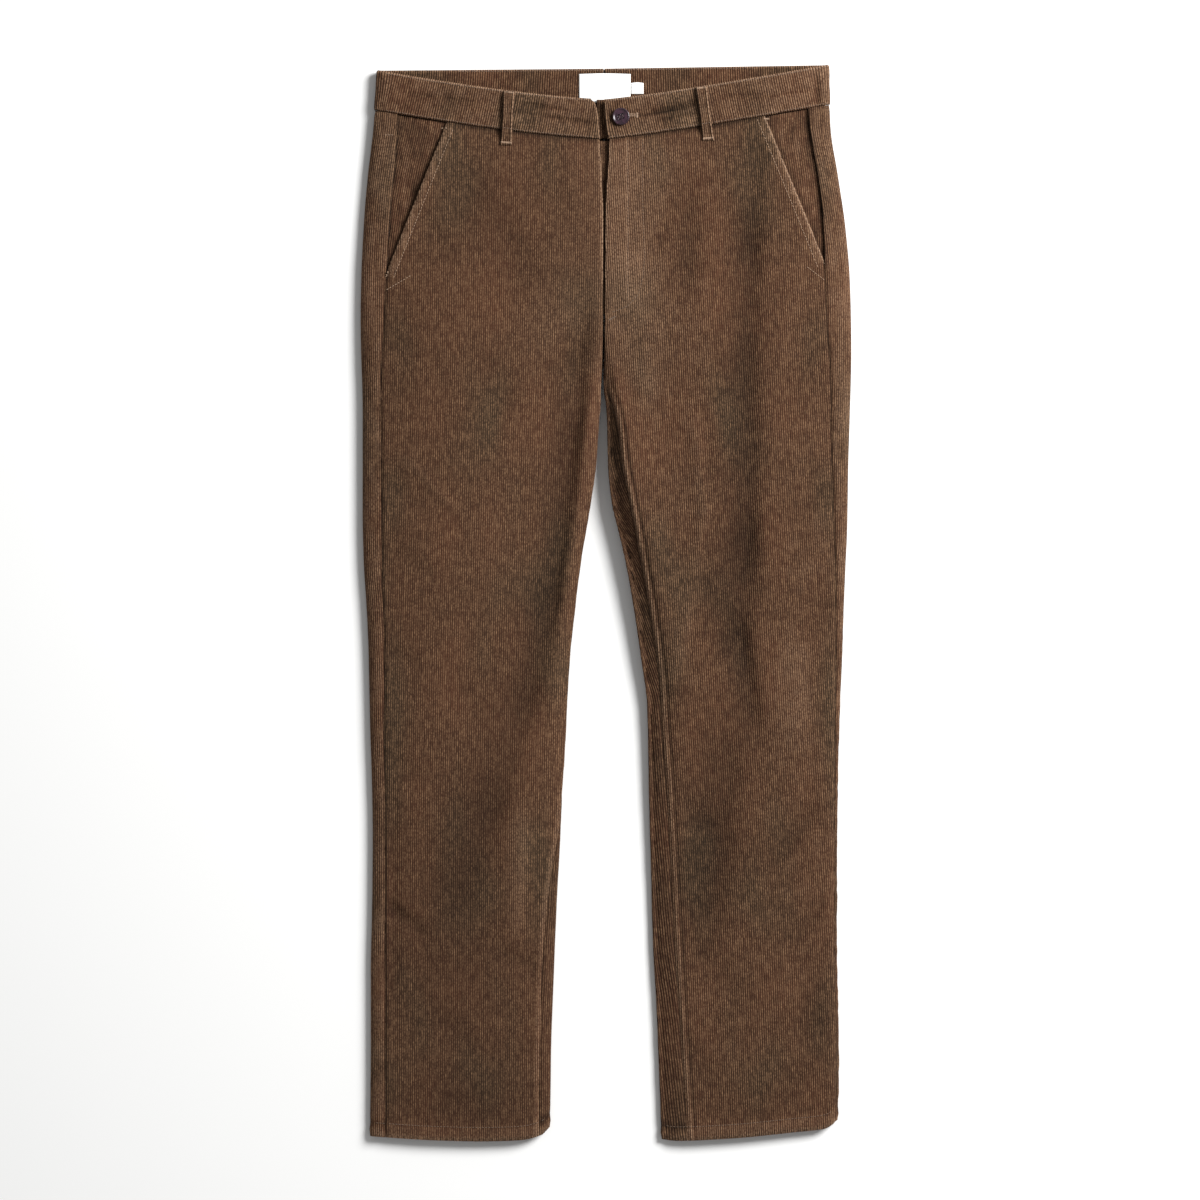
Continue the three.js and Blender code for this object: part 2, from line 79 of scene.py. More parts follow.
leftSections = [
    [0, 222, 24, -1.8, 0.4],
    [60, 224, 21, -1.8, 0.4],
    [113, 232, 20, -1.8, 1.2],
    [161, 239, 22, -1.8, 1.2],
    [215, 243.5, 24.5, -1.8, 1],
    [255, 244.7, 24, -1.8, 0.5],
    [290, 245, 22, -2.3, 0.4],
    [318, 244.5, 20, -2.4, 4.8],
    [350, 243.5, 19, 0.8, 12],
    [401, 242, 16.5, 2, 17.5],
    [437, 241.5, 14.5, 5.5, 21.5],
    [465, 241, 13, 12, 20.5],
    [497, 239.5, 10, 19.5, 18.5],
    [545, 237.5, 8, 28, 18.5],
    [593, 236, 6, 35, 18.5],
    [640, 234, 4.5, 41, 16.5],
    [735, 231.5, 2.5, 43, 21],
    [807, 231, 2, 45, 22.5],
    [881, 231, 2, 47, 24],
    [935, 232, 2, 50, 24.5],
    [995, 233, 2, 52.5, 26],
    [1075, 231.5, 2, 55.5, 28.5],
]
loftRows = [  # down, crown, fold, lift
    [0, 15, 12.5, 2.6],
    [58, 16.5, 12.5, 2.6],
    [90, 18, 12.5, 1.2],
    [130, 19.5, 12.5, 0],
    [220, 21, 12.8, 0],
    [318, 20.5, 13, 0],
    [450, 19.5, 12.8, 0],
    [600, 17.5, 12, 0],
    [800, 15, 11, 0],
    [950, 13, 10.5, 0],
    [1075, 11.5, 10, 0],
]
edgeFold = {"height": 0.45, "topRadius": 11, "floorRadius": 8, "innerTopRadius": 11, "innerFloorRadius": 9}
crotch = {"top": (262, 330), "floor": (200, 300), "seam": (240, 318)}

# The garment's main creases as in the solids, which set how long the cloth is across it.
mainCreases = [  # fromX, fromY, toX, toY, half width, depth
    [148, 430, 124, -30, 20, 3],
    [152, -90, 112, -330, 22, 2.2],
    [-48, 100, -70, -67, 13, 1.8],
    [-74, -80, -128, -235, 20, 2],
    [-200, 300, -205, 40, 20, 1.8],
    [92, 170, 69, -75, 14, -1.2],
    [232, -215, 186, -268, 10, 1.2],
    [-110, 330, -95, 120, 24, -1.4],
]
# The creases that show. Each has a wall on its +X and on its -X side, and a ridge has a negative depth.
shownCreases = [  # fromX, fromY, toX, toY, wall on the right, wall on the left, depth
    # the long fold down the left leg
    [151, 480, 144, 330, 11, 18, 2.6],
    [145, 390, 140, 200, 12, 22, 4.1],
    [141, 240, 141, 10, 12, 24, 4.2],
    [142, 90, 131, -66, 13, 34, 3.6],
    [130, -10, 153, -142, 9, 18, 4.0],
    [128, -100, 98, -352, 16, 34, 3.6],
    [87, 196, 101, 76, 5, 9, -1.7],
    [101, 96, 80, -26, 5, 9, -2.0],
    [84, -10, 67, -80, 6, 9, -1.6],
    [188, -20, 188, -150, 14, 20, -2.6],
    [82, 430, 80, 300, 12, 20, 1.8],
    # the soft fold down the inside of the right leg
    [-22, 310, -37, 120, 10, 22, 2.6],
    [-35, 180, -57, -24, 11, 22, 3.6],
    [-53, 25, -85, -122, 12, 26, 4.0],
    [-79, -80, -120, -230, 15, 34, 3.2],
    [-109, -180, -153, -322, 17, 38, 2.8],
    [-84, -200, -92, -345, 9, 14, -2.4],
    # the middle stands up along the fly, and falls to both hips
    [2, 500, 0, 230, 52, 66, -5.2],
    [-6, 420, -3, 215, 12, 15, -1.5],
    [20, 350, 27, 280, 16, 14, -2.2],
    [34, 250, 44, 190, 14, 16, -1.6],
    # drag lines from the fly's foot and the crotch
    [44, 322, 6, 284, 3, 7, 2.6],
    [52, 300, 10, 268, 5, 8, 1.8],
    [70, 392, 30, 330, 4, 9, 1.3],
    [64, 372, 36, 316, 4, 7, 1.1],
    [60, 270, 6, 262, 6, 8, -1.3],
    [30, 462, 4, 440, 3.5, 6, 1.3],
    [26, 424, 3, 408, 3.5, 6, 1.1],
    [28, 380, 4, 372, 4, 6, 0.9],
    [26, 342, 4, 330, 4, 6, 0.9],
    [4, 250, 40, 196, 6, 10, 1.1],
    [-10, 262, -60, 226, 6, 9, 1.0],
    [-8, 236, -34, 150, 7, 10, 1.1],
    # puckers and dents along the sides
    [-206, 152, -146, 88, 3.5, 7, -1.5],
    [-200, 140, -140, 76, 4, 8, 1.0],
    [-222, 262, -186, 250, 5, 7, 1.1],
    [-228, 205, -190, 214, 6, 7, 1.0],
    [-226, 130, -180, 96, 7, 9, 1.2],
    [-222, 60, -170, 20, 8, 10, 1.0],
    [-225, -40, -185, -64, 7, 9, 1.1],
    [-224, -150, -180, -178, 8, 10, 1.0],
    [-226, -294, -178, -332, 5, 10, 2.6],
    [-113, -344, -58, -372, 6, 11, 1.8],
    [-62, -440, -120, -470, 10, 12, 1.0],
    [-180, -400, -130, -450, 12, 14, 1.2],
    [-216, -180, -212, -420, 9, 12, 1.3],
    [-150, 440, -60, 300, 22, 34, 1.8],
    [-60, 470, -50, 380, 16, 22, 1.2],
    [214, -200, 160, -274, 6, 11, 2.4],
    [222, -300, 176, -352, 8, 12, 1.8],
    [214, -400, 190, -440, 9, 14, 1.9],
    [206, -462, 170, -500, 9, 12, 1.2],
    [216, 250, 176, 190, 9, 11, 1.3],
    [228, 120, 184, 76, 8, 11, 1.3],
    [226, 10, 176, -50, 9, 12, 1.4],
    [72, -190, 130, -250, 10, 14, 1.2],
    [80, -330, 140, -400, 12, 14, 1.2],
    [60, -420, 110, -480, 10, 12, 1.1],
    [70, 60, 112, -10, 10, 14, 1.1],
    [60, 180, 110, 120, 12, 14, 1.0],
    [-190, 400, -150, 330, 9, 12, 0.9],
    [-120, 250, -90, 190, 12, 14, 0.9],
    [-160, -60, -120, -130, 12, 16, 0.9],
    [180, 330, 150, 250, 10, 14, 0.9],
]
# Patches painted darker or paler: some are the pile's own, some are painted shade where the large forms turn
# from the light and painted highlight where they turn to it. Each gives its middle, its reach each way, and
# by how much.
pileAndShadingPatches = [  # middleX, middleY, reachX, reachY, amount
    [-80, 400, 66, 80, -0.16],
    [-30, 470, 30, 20, -0.1],
    [-190, 250, 40, 60, -0.05],
    [-150, -350, 60, 120, -0.26],
    [-140, -500, 70, 34, -0.3],
    [-231, 230, 8, 38, 0.28],
    [-232, -20, 5, 300, 0.12],
    [26, 320, 22, 46, 0.16],
    [22, 420, 22, 70, 0.1],
    [40, 220, 22, 40, 0.08],
    [82, 360, 12, 52, -0.14],
    [188, -90, 18, 50, 0.1],
    [200, 60, 22, 60, 0.06],
    [104, 250, 26, 90, 0.06],
    [150, -500, 70, 24, -0.08],
    [214, -420, 14, 60, -0.12],
    [120, -260, 30, 60, -0.1],
    [84, -480, 26, 30, -0.1],
    [-100, 60, 40, 110, 0.05],
    [-88, -280, 9, 60, 0.1],
    [-100, -120, 60, 60, 0.04],
]
# On the underside the folds press up from the surface.
underCreases = [  # fromX, fromY, toX, toY, half width, depth
    [-150, 380, -60, 300, 12, 0.9],
    [-190, 250, -80, 190, 10, 0.8],
    [-60, 230, -150, 120, 12, 0.9],
    [-200, 20, -110, -60, 11, 0.7],
    [-80, -150, -170, -230, 12, 0.8],
    [-200, -340, -110, -420, 12, 0.6],
    [60, 330, 170, 390, 12, 0.9],
    [40, 270, 150, 200, 11, 0.9],
    [200, 120, 110, 30, 12, 0.8],
    [70, -90, 180, -150, 12, 0.7],
    [210, -250, 110, -330, 12, 0.7],
    [80, -400, 170, -450, 12, 0.5],
]


def mix(a, b, share):
    return a + (b - a) * share


def ease(value, low, high):
    t = np.clip((value - low) / (high - low), 0, 1)
    return t * t * (3 - 2 * t)


def bell(distance, width):
    return np.exp(-((distance / width) ** 2))


def quarter(share):
    # a quarter circle, which rises from nothing at an edge
    t = 1 - np.clip(share, 0, 1)
    return np.sqrt(np.maximum(0, 1 - t * t))


def columnsOf(names, rows):
    # a table's columns as smooth functions of its first one, which never overshoot its rows
    table = np.array(rows, float)
    keys = table[:, 0]
    read = {}
    for i, name in enumerate(names[1:], 1):
        values = table[:, i]
        slope = np.diff(values) / np.diff(keys)
        before, after = np.r_[slope[0], slope], np.r_[slope, slope[-1]]
        agree = before * after > 0
        tangent = np.where(agree, 2 * before * after / np.where(agree, before + after, 1), 0)

        def at(where, values=values, tangent=tangent):
            key = np.clip(where, keys[0], keys[-1])
            k = np.clip(np.searchsorted(keys, key, side="right") - 1, 0, len(keys) - 2)
            span = keys[k + 1] - keys[k]
            t = (key - keys[k]) / span
            hold = 1 - t
            return (values[k] * hold * hold * (1 + 2 * t) + values[k + 1] * t * t * (3 - 2 * t)
                    + tangent[k] * span * t * hold * hold - tangent[k + 1] * span * t * t * hold)

        read[name] = at
    return read


def curveOf(points):
    # a smooth curve through pairs of a place and a value
    return columnsOf(["place", "value"], points)["value"]


loftAt = columnsOf(["down", "crown", "fold", "lift"], loftRows)


def creaseDepth(x, y, rows):
    total = np.zeros(np.broadcast(x, y).shape)
    for fromX, fromY, toX, toY, *widths, depth in rows:
        runX, runY = toX - fromX, toY - fromY
        length = math.hypot(runX, runY)
        lengthwise = ((x - fromX) * runX + (y - fromY) * runY) / length**2
        beside = ((x - fromX) * runY - (y - fromY) * runX) / length
        width = np.where(beside * runY > 0, widths[0], widths[-1])
        ends = ease(lengthwise, -0.12, 0.28) * ease(lengthwise, 1.12, 0.72)
        total += depth * ends * bell(beside, width)
    return total


def topHeight(half, down, across):
    outer, inner = half["outer"](down), half["inner"](down)
    crown, fold, lift = loftAt["crown"](down), loftAt["fold"](down), loftAt["lift"](down)
    parted = ease(down, *crotch["top"])
    share = (outer - across) / (outer - inner)
    rise = lambda t: np.sin(math.pi / 2 * np.clip(t / 0.42, 0, 1))
    dome = rise(share) * (1 - parted * (1 - rise(1 - share)))
    inwards = ease(outer - across, 8, 45) * (1 - parted * (1 - ease(across - inner, 8, 40)))
    crease = creaseDepth(half["side"] * across, garmentLength / 2 - down, mainCreases) * inwards
    flat = fold + (crown - fold) * dome - crease
    foldHeight = lift + edgeFold["height"] * fold
    upTo = mix(foldHeight, flat, quarter((outer - across) / edgeFold["topRadius"]))
    innerEdge = mix(upTo, foldHeight, parted)
    return mix(innerEdge, upTo, quarter((across - inner) / edgeFold["innerTopRadius"]))


def floorHeight(half, down, across):
    fold, lift = loftAt["fold"](down), loftAt["lift"](down)
    outer, inner = half["outer"](down), half["inner"](down)
    parted = ease(down, *crotch["floor"])
    outerRise = 1 - quarter((outer - across) / edgeFold["floorRadius"])
    innerRise = 1 - quarter((across - inner) / edgeFold["innerFloorRadius"])
    rise = edgeFold["height"] * fold * np.maximum(outerRise, innerRise * parted)
    inside = ease(outer - across, 8, 40) * ease(across - inner, 8, 40) * ease(down, 60, 130)
    press = creaseDepth(half["side"] * across, garmentLength / 2 - down, underCreases)
    return lift + rise + press * inside


# The inside of each leg stands up along a line by its seam, and falls away from it to the edge.
innerColumns = ["down", "rise", "drop", "reach"]
innerFallRows = {
    -1: [[300, 0, 0, 16], [360, 3.5, 0.5, 18], [480, 3, 1.5, 18], [700, 1, 1, 20], [1075, 0.5, 1, 20]],
    1: [[290, 0, 0, 18], [330, 5, 5, 19], [380, 9, 9.5, 24], [470, 9, 11, 30], [560, 6, 9, 32],
        [680, 2, 5.5, 34], [1075, 0.5, 3, 30]],
}
innerFall = {side: columnsOf(innerColumns, rows) for side, rows in innerFallRows.items()}
# Near the crotch the inner edges themselves curl up from the surface.
edgeCurl = {-1: curveOf([[250, 0], [330, 6], [450, 6], [560, 2], [700, 0]]),
            1: curveOf([[250, 0], [320, 7], [480, 9], [560, 7], [680, 3], [850, 0]])}


def curl(half, down, across):
    return edgeCurl[half["side"]](down) * bell(across - half["inner"](down), 17)


def shownHeight(half, down, across, height):
    # the top as it shows: its real creases in place of the solids' plain ones, and the inside of each
    # leg falling away from its seam
    outer, inner = half["outer"](down), half["inner"](down)
    x, y = half["side"] * across, garmentLength / 2 - down
    parted = ease(down, *crotch["top"])
    inwards = ease(outer - across, 8, 45) * (1 - parted * (1 - ease(across - inner, 8, 40)))
    nearEdge = ease(outer - across, 3, 22) * (1 - parted * (1 - ease(across - inner, 3, 22)))
    belowBand = ease(down, 50, 95)
    plain = creaseDepth(x, y, mainCreases) * inwards
    shown = creaseDepth(x, y, shownCreases) * nearEdge * mix(0.35, 1, belowBand)
    fall = innerFall[half["side"]]
    reach = fall["reach"](down)
    drop = fall["drop"](down) * parted * (1 - ease(across - inner, 0, reach)) ** 1.2
    # Near the tip the cloth is already low.
    drop = drop * ease(across - inner, 0, 5)
    past = across - inner - reach * 0.8
    rise = fall["rise"](down) * parted * bell(past, np.where(past > 0, 30.0, 0.45 * reach))
    lowest = loftAt["lift"](down) + 5.0
    return np.maximum(height + plain - shown - drop + rise, lowest) + curl(half, down, across)


# Every half's cross-sections, sampled evenly along their length.
sectionDowns = np.arange(0, garmentLength + 3, 2.5)
stepS = 0.5


def sampleSections(half):
    D = sectionDowns[:, None]
    outer, inner = half["outer"](D), half["inner"](D)
    corner = 1 - np.cos(math.pi / 2 * np.linspace(0, 1, 22))[None, :]
    share = np.linspace(0, 1, 190)[None, 1:-1]

    def spread(outerRadius, innerRadius):
        low, high = outer - outerRadius, inner + innerRadius
        return np.hstack([outer - outerRadius * corner, low + (high - low) * share,
                          (inner + innerRadius * corner)[:, ::-1]])

    topW = spread(edgeFold["topRadius"], edgeFold["innerTopRadius"])
    floorW = spread(edgeFold["floorRadius"], edgeFold["innerFloorRadius"])
    topZ, floorZ = topHeight(half, D, topW), floorHeight(half, D, floorW)
    w = np.hstack([topW, floorW[:, ::-1], topW[:, 1:]])
    z = np.hstack([topZ, floorZ[:, ::-1], topZ[:, 1:]])
    arc = np.hstack([np.zeros_like(D), np.cumsum(np.hypot(np.diff(w), np.diff(z)), axis=1)])
    topZ = shownHeight(half, D, topW, topZ)
    floorZ = floorZ + curl(half, D, floorW)
    z = np.hstack([topZ, floorZ[:, ::-1], topZ[:, 1:]])
    topCount = topW.shape[1]
    half["tip"] = arc[:, topCount - 1]
    half["perimeter"] = arc[:, topCount + floorW.shape[1] - 1]
    half["topArc"], half["topW"] = arc[:, :topCount], topW
    half["floorArc"] = arc[:, topCount:topCount + floorW.shape[1]]
    half["floorW"] = floorW[:, ::-1]
    samples = np.arange(0, arc[:, -1].max(), stepS)
    half["W"] = np.array([np.interp(samples, a, v) for a, v in zip(arc, w)])
    half["Z"] = np.array([np.interp(samples, a, v) for a, v in zip(arc, z)])
    # Near the crotch, the direction of the cloth is taken over a longer stretch, as in the solids.
    reach = np.maximum(1, np.round(mix(0.5, 2.5, ease(sectionDowns, 215, 270)) / stepS)).astype(int)
    k = np.arange(len(samples))
    loop = np.round(half["perimeter"] / stepS).astype(int)
    nw, nz = [], []
    for row, (r, turn) in enumerate(zip(reach, loop)):
        before = np.where(k < r, k - r + turn, k - r)
        after = np.minimum(k + r, len(k) - 1)
        dw = half["W"][row][after] - half["W"][row][before]
        dz = half["Z"][row][after] - half["Z"][row][before]
        length = np.maximum(np.hypot(dw, dz), 1e-6)
        nw.append(dz / length)
        nz.append(-dw / length)
    half["NW"], half["NZ"] = np.array(nw), np.array(nz)


def arcOnTop(half, across):
    # how far along each section its top passes a place across, which has one value for each section
    return np.array([np.interp(-a, -w, s) for a, w, s in zip(across, half["topW"], half["topArc"])])


def arcUnderneath(half, across):
    return np.array([np.interp(a, w, s) for a, w, s in zip(across, half["floorW"], half["floorArc"])])


def along(values, down):
    return np.interp(down, sectionDowns, values)


def surface(half, down, s):
    # the place and outward direction on the cloth, between the sampled sections
    i = np.clip(down / 2.5, 0, len(sectionDowns) - 1.001)
    j = np.clip(s / stepS, 0, half["W"].shape[1] - 1.001)
    i0, j0 = i.astype(int), j.astype(int)
    fi, fj = i - i0, j - j0
    out = []
    for grid in (half["W"], half["Z"], half["NW"], half["NZ"]):
        top = grid[i0, j0] * (1 - fj) + grid[i0, j0 + 1] * fj
        bottom = grid[i0 + 1, j0] * (1 - fj) + grid[i0 + 1, j0 + 1] * fj
        out.append(top * (1 - fi) + bottom * fi)
    return out


def makeHalf(side, rows, waist, pocket, hemRows):
    half = dict(columnsOf(sectionColumns, rows))
    half.update(side=side, waist=waist, pocket=pocket, hemAt=curveOf(hemRows))
    sampleSections(half)
    return half


right = makeHalf(-1, rightSections, {"side": 45.5, "front": 75, "bend": 1.4},
                 {"topAcross": 159.5, "topDown": 60, "bottomAcross": 221, "bottomDown": 213},
                 [[56, 1061], [65, 1069], [88, 1074], [125, 1075], [168, 1074], [236, 1070]])
left = makeHalf(1, leftSections, {"side": 40, "front": 75, "bend": 1.15},
                {"topAcross": 158, "topDown": 50, "bottomAcross": 220, "bottomDown": 202},
                [[55, 1073], [70, 1074.5], [126, 1072], [187, 1066], [218, 1062.5], [232, 1054]])
print("stage: sections worked out")


def pressedPile(x, y):
    # painted shade in the folds and a painted highlight on the ridges, with patches of the pile and of
    # painted light and shade
    depth = creaseDepth(x + 2, y, shownCreases)
    shadeAndWear = -0.1 * np.clip(depth, -1.5, 6) * ease(y, 490, 450)
    for middleX, middleY, reachX, reachY, amount in pileAndShadingPatches:
        shadeAndWear = shadeAndWear + amount * np.exp(-(((x - middleX) / reachX) ** 2) - ((y - middleY) / reachY) ** 2)
    return shadeAndWear


def pocketAcross(half, down):
    p = half["pocket"]
    return mix(p["topAcross"], p["bottomAcross"], (down - p["topDown"]) / (p["bottomDown"] - p["topDown"]))


def waistSeam(half, across, down, onTop):
    share = np.clip(across / half["outer"](down), 0, 1)
    over = mix(half["waist"]["front"], half["waist"]["side"], share ** half["waist"]["bend"])
    under = mix(waistband["backSeam"], half["waist"]["side"], share)
    return np.where(onTop, over, under)


# How far each front stops short of the middle's edge along the fly.
flyEdge = {-1: curveOf([[60, 5.2], [77, 4.4], [94, 2.9], [114, 2.0], [154, 0.5], [200, 0.3], [255, 0.4]]),
           1: curveOf([[60, 5.5], [94, 4.8], [114, 3.2], [154, 1.5], [235, 0.9], [255, 0.5]])}
for half in (right, left):
    d = sectionDowns
    half["outseamArc"] = arcOnTop(half, half["outer"](d) - half["outseam"](d))
    half["slantArc"] = arcOnTop(half, np.minimum(pocketAcross(half, d), half["outer"](d)))
    half["frontStart"] = np.maximum(half["outseamArc"], half["slantArc"])
    half["frontEnd"] = half["tip"] - np.where(d < 255, flyEdge[half["side"]](d), half["inseam"](d))
    half["seatArc"] = arcUnderneath(half, half["inner"](d) + 0.2)
    half["backEnd"] = mix(half["seatArc"], half["frontEnd"] + seamGap, ease(d, *crotch["seam"]))
    half["backStart"] = half["perimeter"] + half["outseamArc"] - seamGap


def noiseAt(x, y, seed, size):
    # smooth value noise from a seeded grid, from -1 to 1
    grid = np.random.default_rng(seed).uniform(-1, 1, (64, 64))
    u, v = x / size[0], y / size[1]
    i, j = np.floor(u).astype(int), np.floor(v).astype(int)
    fu, fv = u - i, v - j
    fu, fv = fu * fu * (3 - 2 * fu), fv * fv * (3 - 2 * fv)
    pick = lambda a, b: grid[a % 64, b % 64]
    return mix(mix(pick(i, j), pick(i + 1, j), fu), mix(pick(i, j + 1), pick(i + 1, j + 1), fu), fv)


def cordHeight(u, down, seed):
    # round cords with narrow grooves; each is a little higher or lower than the next, and so along it
    phase = u / cords["pitch"]
    crest = np.abs(np.cos(math.pi * phase)) ** 0.8
    number = np.round(phase)
    vary = 0.22 * noiseAt(number, down, seed, (1.0, 34.0)) + 0.1 * (number % 2)
    return cords["relief"] * (crest * (1 + vary) - 0.72)


def bridge(lineA, lineB):
    # triangles between two lines of vertices that run side by side
    faces, i, j = [], 0, 0
    while i < len(lineA) - 1 or j < len(lineB) - 1:
        shareA = (i + 1) / (len(lineA) - 1) if i < len(lineA) - 1 else 2
        shareB = (j + 1) / (len(lineB) - 1) if j < len(lineB) - 1 else 2
        if shareA <= shareB:
            faces.append((lineA[i], lineA[i + 1], lineB[j]))
            i += 1
        else:
            faces.append((lineA[i], lineB[j + 1], lineB[j]))
            j += 1
    return faces


def meshPiece(name, points, faces, uv=None, wearAndShade=None, material=None):
    # points in millimetres; faces with repeated vertices are cleaned up or dropped
    clean = []
    for face in faces:
        ring = []
        for v in face:
            if v not in ring:
                ring.append(int(v))
        if len(ring) > 2:
            clean.append(ring)
    used = np.unique(np.concatenate([np.array(f) for f in clean]))
    index = np.full(len(points), -1)
    index[used] = np.arange(len(used))
    mesh = bpy.data.meshes.new(name)
    places = (np.asarray(points)[used] * mm).tolist()
    mesh.from_pydata(places, [], [[int(index[v]) for v in f] for f in clean])
    mesh.validate()
    loopVertex = np.zeros(len(mesh.loops), int)
    mesh.loops.foreach_get("vertex_index", loopVertex)
    if uv is not None:
        layer = mesh.uv_layers.new(name="cloth")
        layer.data.foreach_set("uv", (np.asarray(uv)[used][loopVertex] * mm).astype(np.float32).ravel())
    # the attribute: rubbed pile and painted highlight above nought, painted shade and darker pile below it
    if wearAndShade is not None:
        attribute = mesh.attributes.new("wearAndShade", "FLOAT", "POINT")
        attribute.data.foreach_set("value", np.asarray(wearAndShade)[used].astype(np.float32))
    mesh.polygons.foreach_set("use_smooth", np.ones(len(mesh.polygons), bool))
    piece = bpy.data.objects.new(name, mesh)
    bpy.context.collection.objects.link(piece)
    shape = bmesh.new()
    shape.from_mesh(mesh)
    bmesh.ops.recalc_face_normals(shape, faces=shape.faces)
    shape.to_mesh(mesh)
    shape.free()
    if material is not None:
        mesh.materials.append(material)
    return piece


def clothPanel(name, half, place, downAt, ends, rows, cordRange, edges, material, detail=None, proud=0.0,
               thickness=1.4, pitch=cords["pitch"], cordsInside=False, seed=1, length=1031, crisp=1.0):
    # A panel of corduroy: its outer face has every cord, its inner face is plain unless it shows, and a
    # rim joins them. place gives s from a cord's own place and down, ends gives the panel's two ends in
    # s, and edges says how its four borders are finished.
    step = cords["pitch"] / cords["perCord"]
    columns = np.arange(math.floor(cordRange[0] / cords["pitch"]) * cords["pitch"], cordRange[1], step)
    widen = pitch / cords["pitch"]

    def layer(rowValues, columnValues, outside):
        r = rowValues[:, None] * np.ones_like(columnValues)[None, :]
        u = columnValues[None, :] * np.ones_like(rowValues)[:, None]
        down = downAt(r, np.full_like(r, 120.0), np.full_like(r, 60.0), np.ones_like(r, bool))
        for _ in range(6):
            low, high = ends(down)
            low, high = np.minimum(low, high), np.maximum(low, high)
            free = place(down, u * widen, r)
            s = np.clip(free, low, high)
            onTop = np.mod(s, along(half["perimeter"], down)) < along(half["tip"], down)
            w, z, nw, nz = surface(half, down, s)
            down = downAt(r, w, down, onTop)
        toLow, toHigh = s - low, high - s
        borders = ((toLow, edges["low"]), (toHigh, edges["high"]), (r * length, edges["top"]),
                   ((1 - r) * length, edges["bottom"]))
        wearAndShade = np.zeros_like(s)
        rolled = np.zeros_like(s)
        for distance, (kind, size) in borders:
            if kind == "seam":  # the cloth rolls down into a seam
                rolled = rolled + size * bell(distance, 2.2)
            if kind == "fold":  # a folded edge is round
                rolled = rolled + size * (1 - quarter(distance / 1.8))
                wearAndShade = np.maximum(wearAndShade, 0.8 * bell(distance, 1.3))
            if kind == "roll":  # an edge that rolls under, with no wear
                rolled = rolled + size * (1 - quarter(distance / 1.6))
        nearEdge = np.clip(np.minimum(toLow, toHigh) / 2, 0, 1)
        cord = crisp * cordHeight(u, down, seed) * (0.55 + 0.45 * nearEdge)
        if outside:
            lift = proud + cord - rolled
            if detail is not None:
                up, shadeAndWear = detail(half["side"] * w, garmentLength / 2 - down, down, s, toLow, toHigh)
                lift, wearAndShade = lift + up, wearAndShade + shadeAndWear
        elif cordsInside:
            lift = proud - thickness - cord + rolled
        else:
            lift = np.full_like(s, proud - thickness)
            wearAndShade = np.zeros_like(s)
        points = np.stack([half["side"] * (w + nw * lift), garmentLength / 2 - down,
                           np.maximum(z + nz * lift, 0.02)], -1)
        return points, u, down, wearAndShade, free <= low, free >= high

    faces, points, uvs, wearAndShadeParts, borders, start = [], [], [], [], [], 0
    for outside in (True, False):
        full = outside or cordsInside
        rowValues = rows if full else np.unique(np.r_[rows[::3], rows[-1]])
        columnValues = columns if full else columns[::12]
        places, u, down, wearAndShade, isLow, isHigh = layer(rowValues, columnValues, outside)
        if isLow[:, -1].any() or isHigh[:, 0].any():
            isLow, isHigh = isHigh, isLow
        count = len(columnValues)
        first = np.maximum(isLow.sum(1) - 1, 0)[:, None]
        last = np.minimum(count - isHigh.sum(1), count - 1)[:, None]
        # Cords run straight, and the columns past a row's ends fall together on the panel's edge.
        keep = np.clip(np.arange(count)[None, :], first, last)
        ids = np.arange(len(rowValues))[:, None] * count + keep + start
        quads = np.stack([ids[:-1, :-1], ids[:-1, 1:], ids[1:, 1:], ids[1:, :-1]], -1).reshape(-1, 4)
        different = (quads[:, 0] != quads[:, 1]) | (quads[:, 2] != quads[:, 3])
        faces += quads[different].tolist()
        lines = [ids[0], ids[:, -1], ids[-1], ids[:, 0]]
        lines = [line.tolist() for line in lines]
        borders.append([[b for a, b in zip([None] + line, line) if a != b] for line in lines])
        points.append(places.reshape(-1, 3))
        uvs.append(np.stack([u, down], -1).reshape(-1, 2))
        wearAndShadeParts.append(wearAndShade.reshape(-1))
        start += count * len(rowValues)
    for lineA, lineB in zip(*borders):
        faces += bridge(lineA, lineB)
    points, uvs, wearAndShadeParts = np.concatenate(points), np.concatenate(uvs), np.concatenate(wearAndShadeParts)
    return meshPiece(name, points, faces, uvs, wearAndShadeParts, material)


def layeredPiece(name, outer, inner, uv, material, wearAndShade=None):
    # a closed piece between two grids of places, one over the other
    r, c = outer.shape[:2]
    ids = np.arange(r * c).reshape(r, c)
    faces = []
    for grid in (ids, ids + r * c):
        quads = np.stack([grid[:-1, :-1], grid[:-1, 1:], grid[1:, 1:], grid[1:, :-1]], -1)
        faces += quads.reshape(-1, 4).tolist()
    for line in (ids[0], ids[:, -1], ids[-1], ids[:, 0]):
        a, b = line[:-1], line[1:]
        faces += np.stack([a, b, b + r * c, a + r * c], -1).tolist()
    points = np.concatenate([outer.reshape(-1, 3), inner.reshape(-1, 3)])
    uvs = np.concatenate([uv.reshape(-1, 2)] * 2)
    shadeAndWear = None if wearAndShade is None else np.concatenate([wearAndShade.reshape(-1), np.zeros(r * c)])
    return meshPiece(name, points, faces, uvs, shadeAndWear, material)


def toLinear(hexColour, alpha=1.0):
    # an sRGB hex colour as the linear values that the shader takes
    channels = [int(hexColour[i:i + 2], 16) / 255 for i in (1, 3, 5)]
    linear = [c / 12.92 if c <= 0.04045 else ((c + 0.055) / 1.055) ** 2.4 for c in channels]
    return (*linear, alpha)


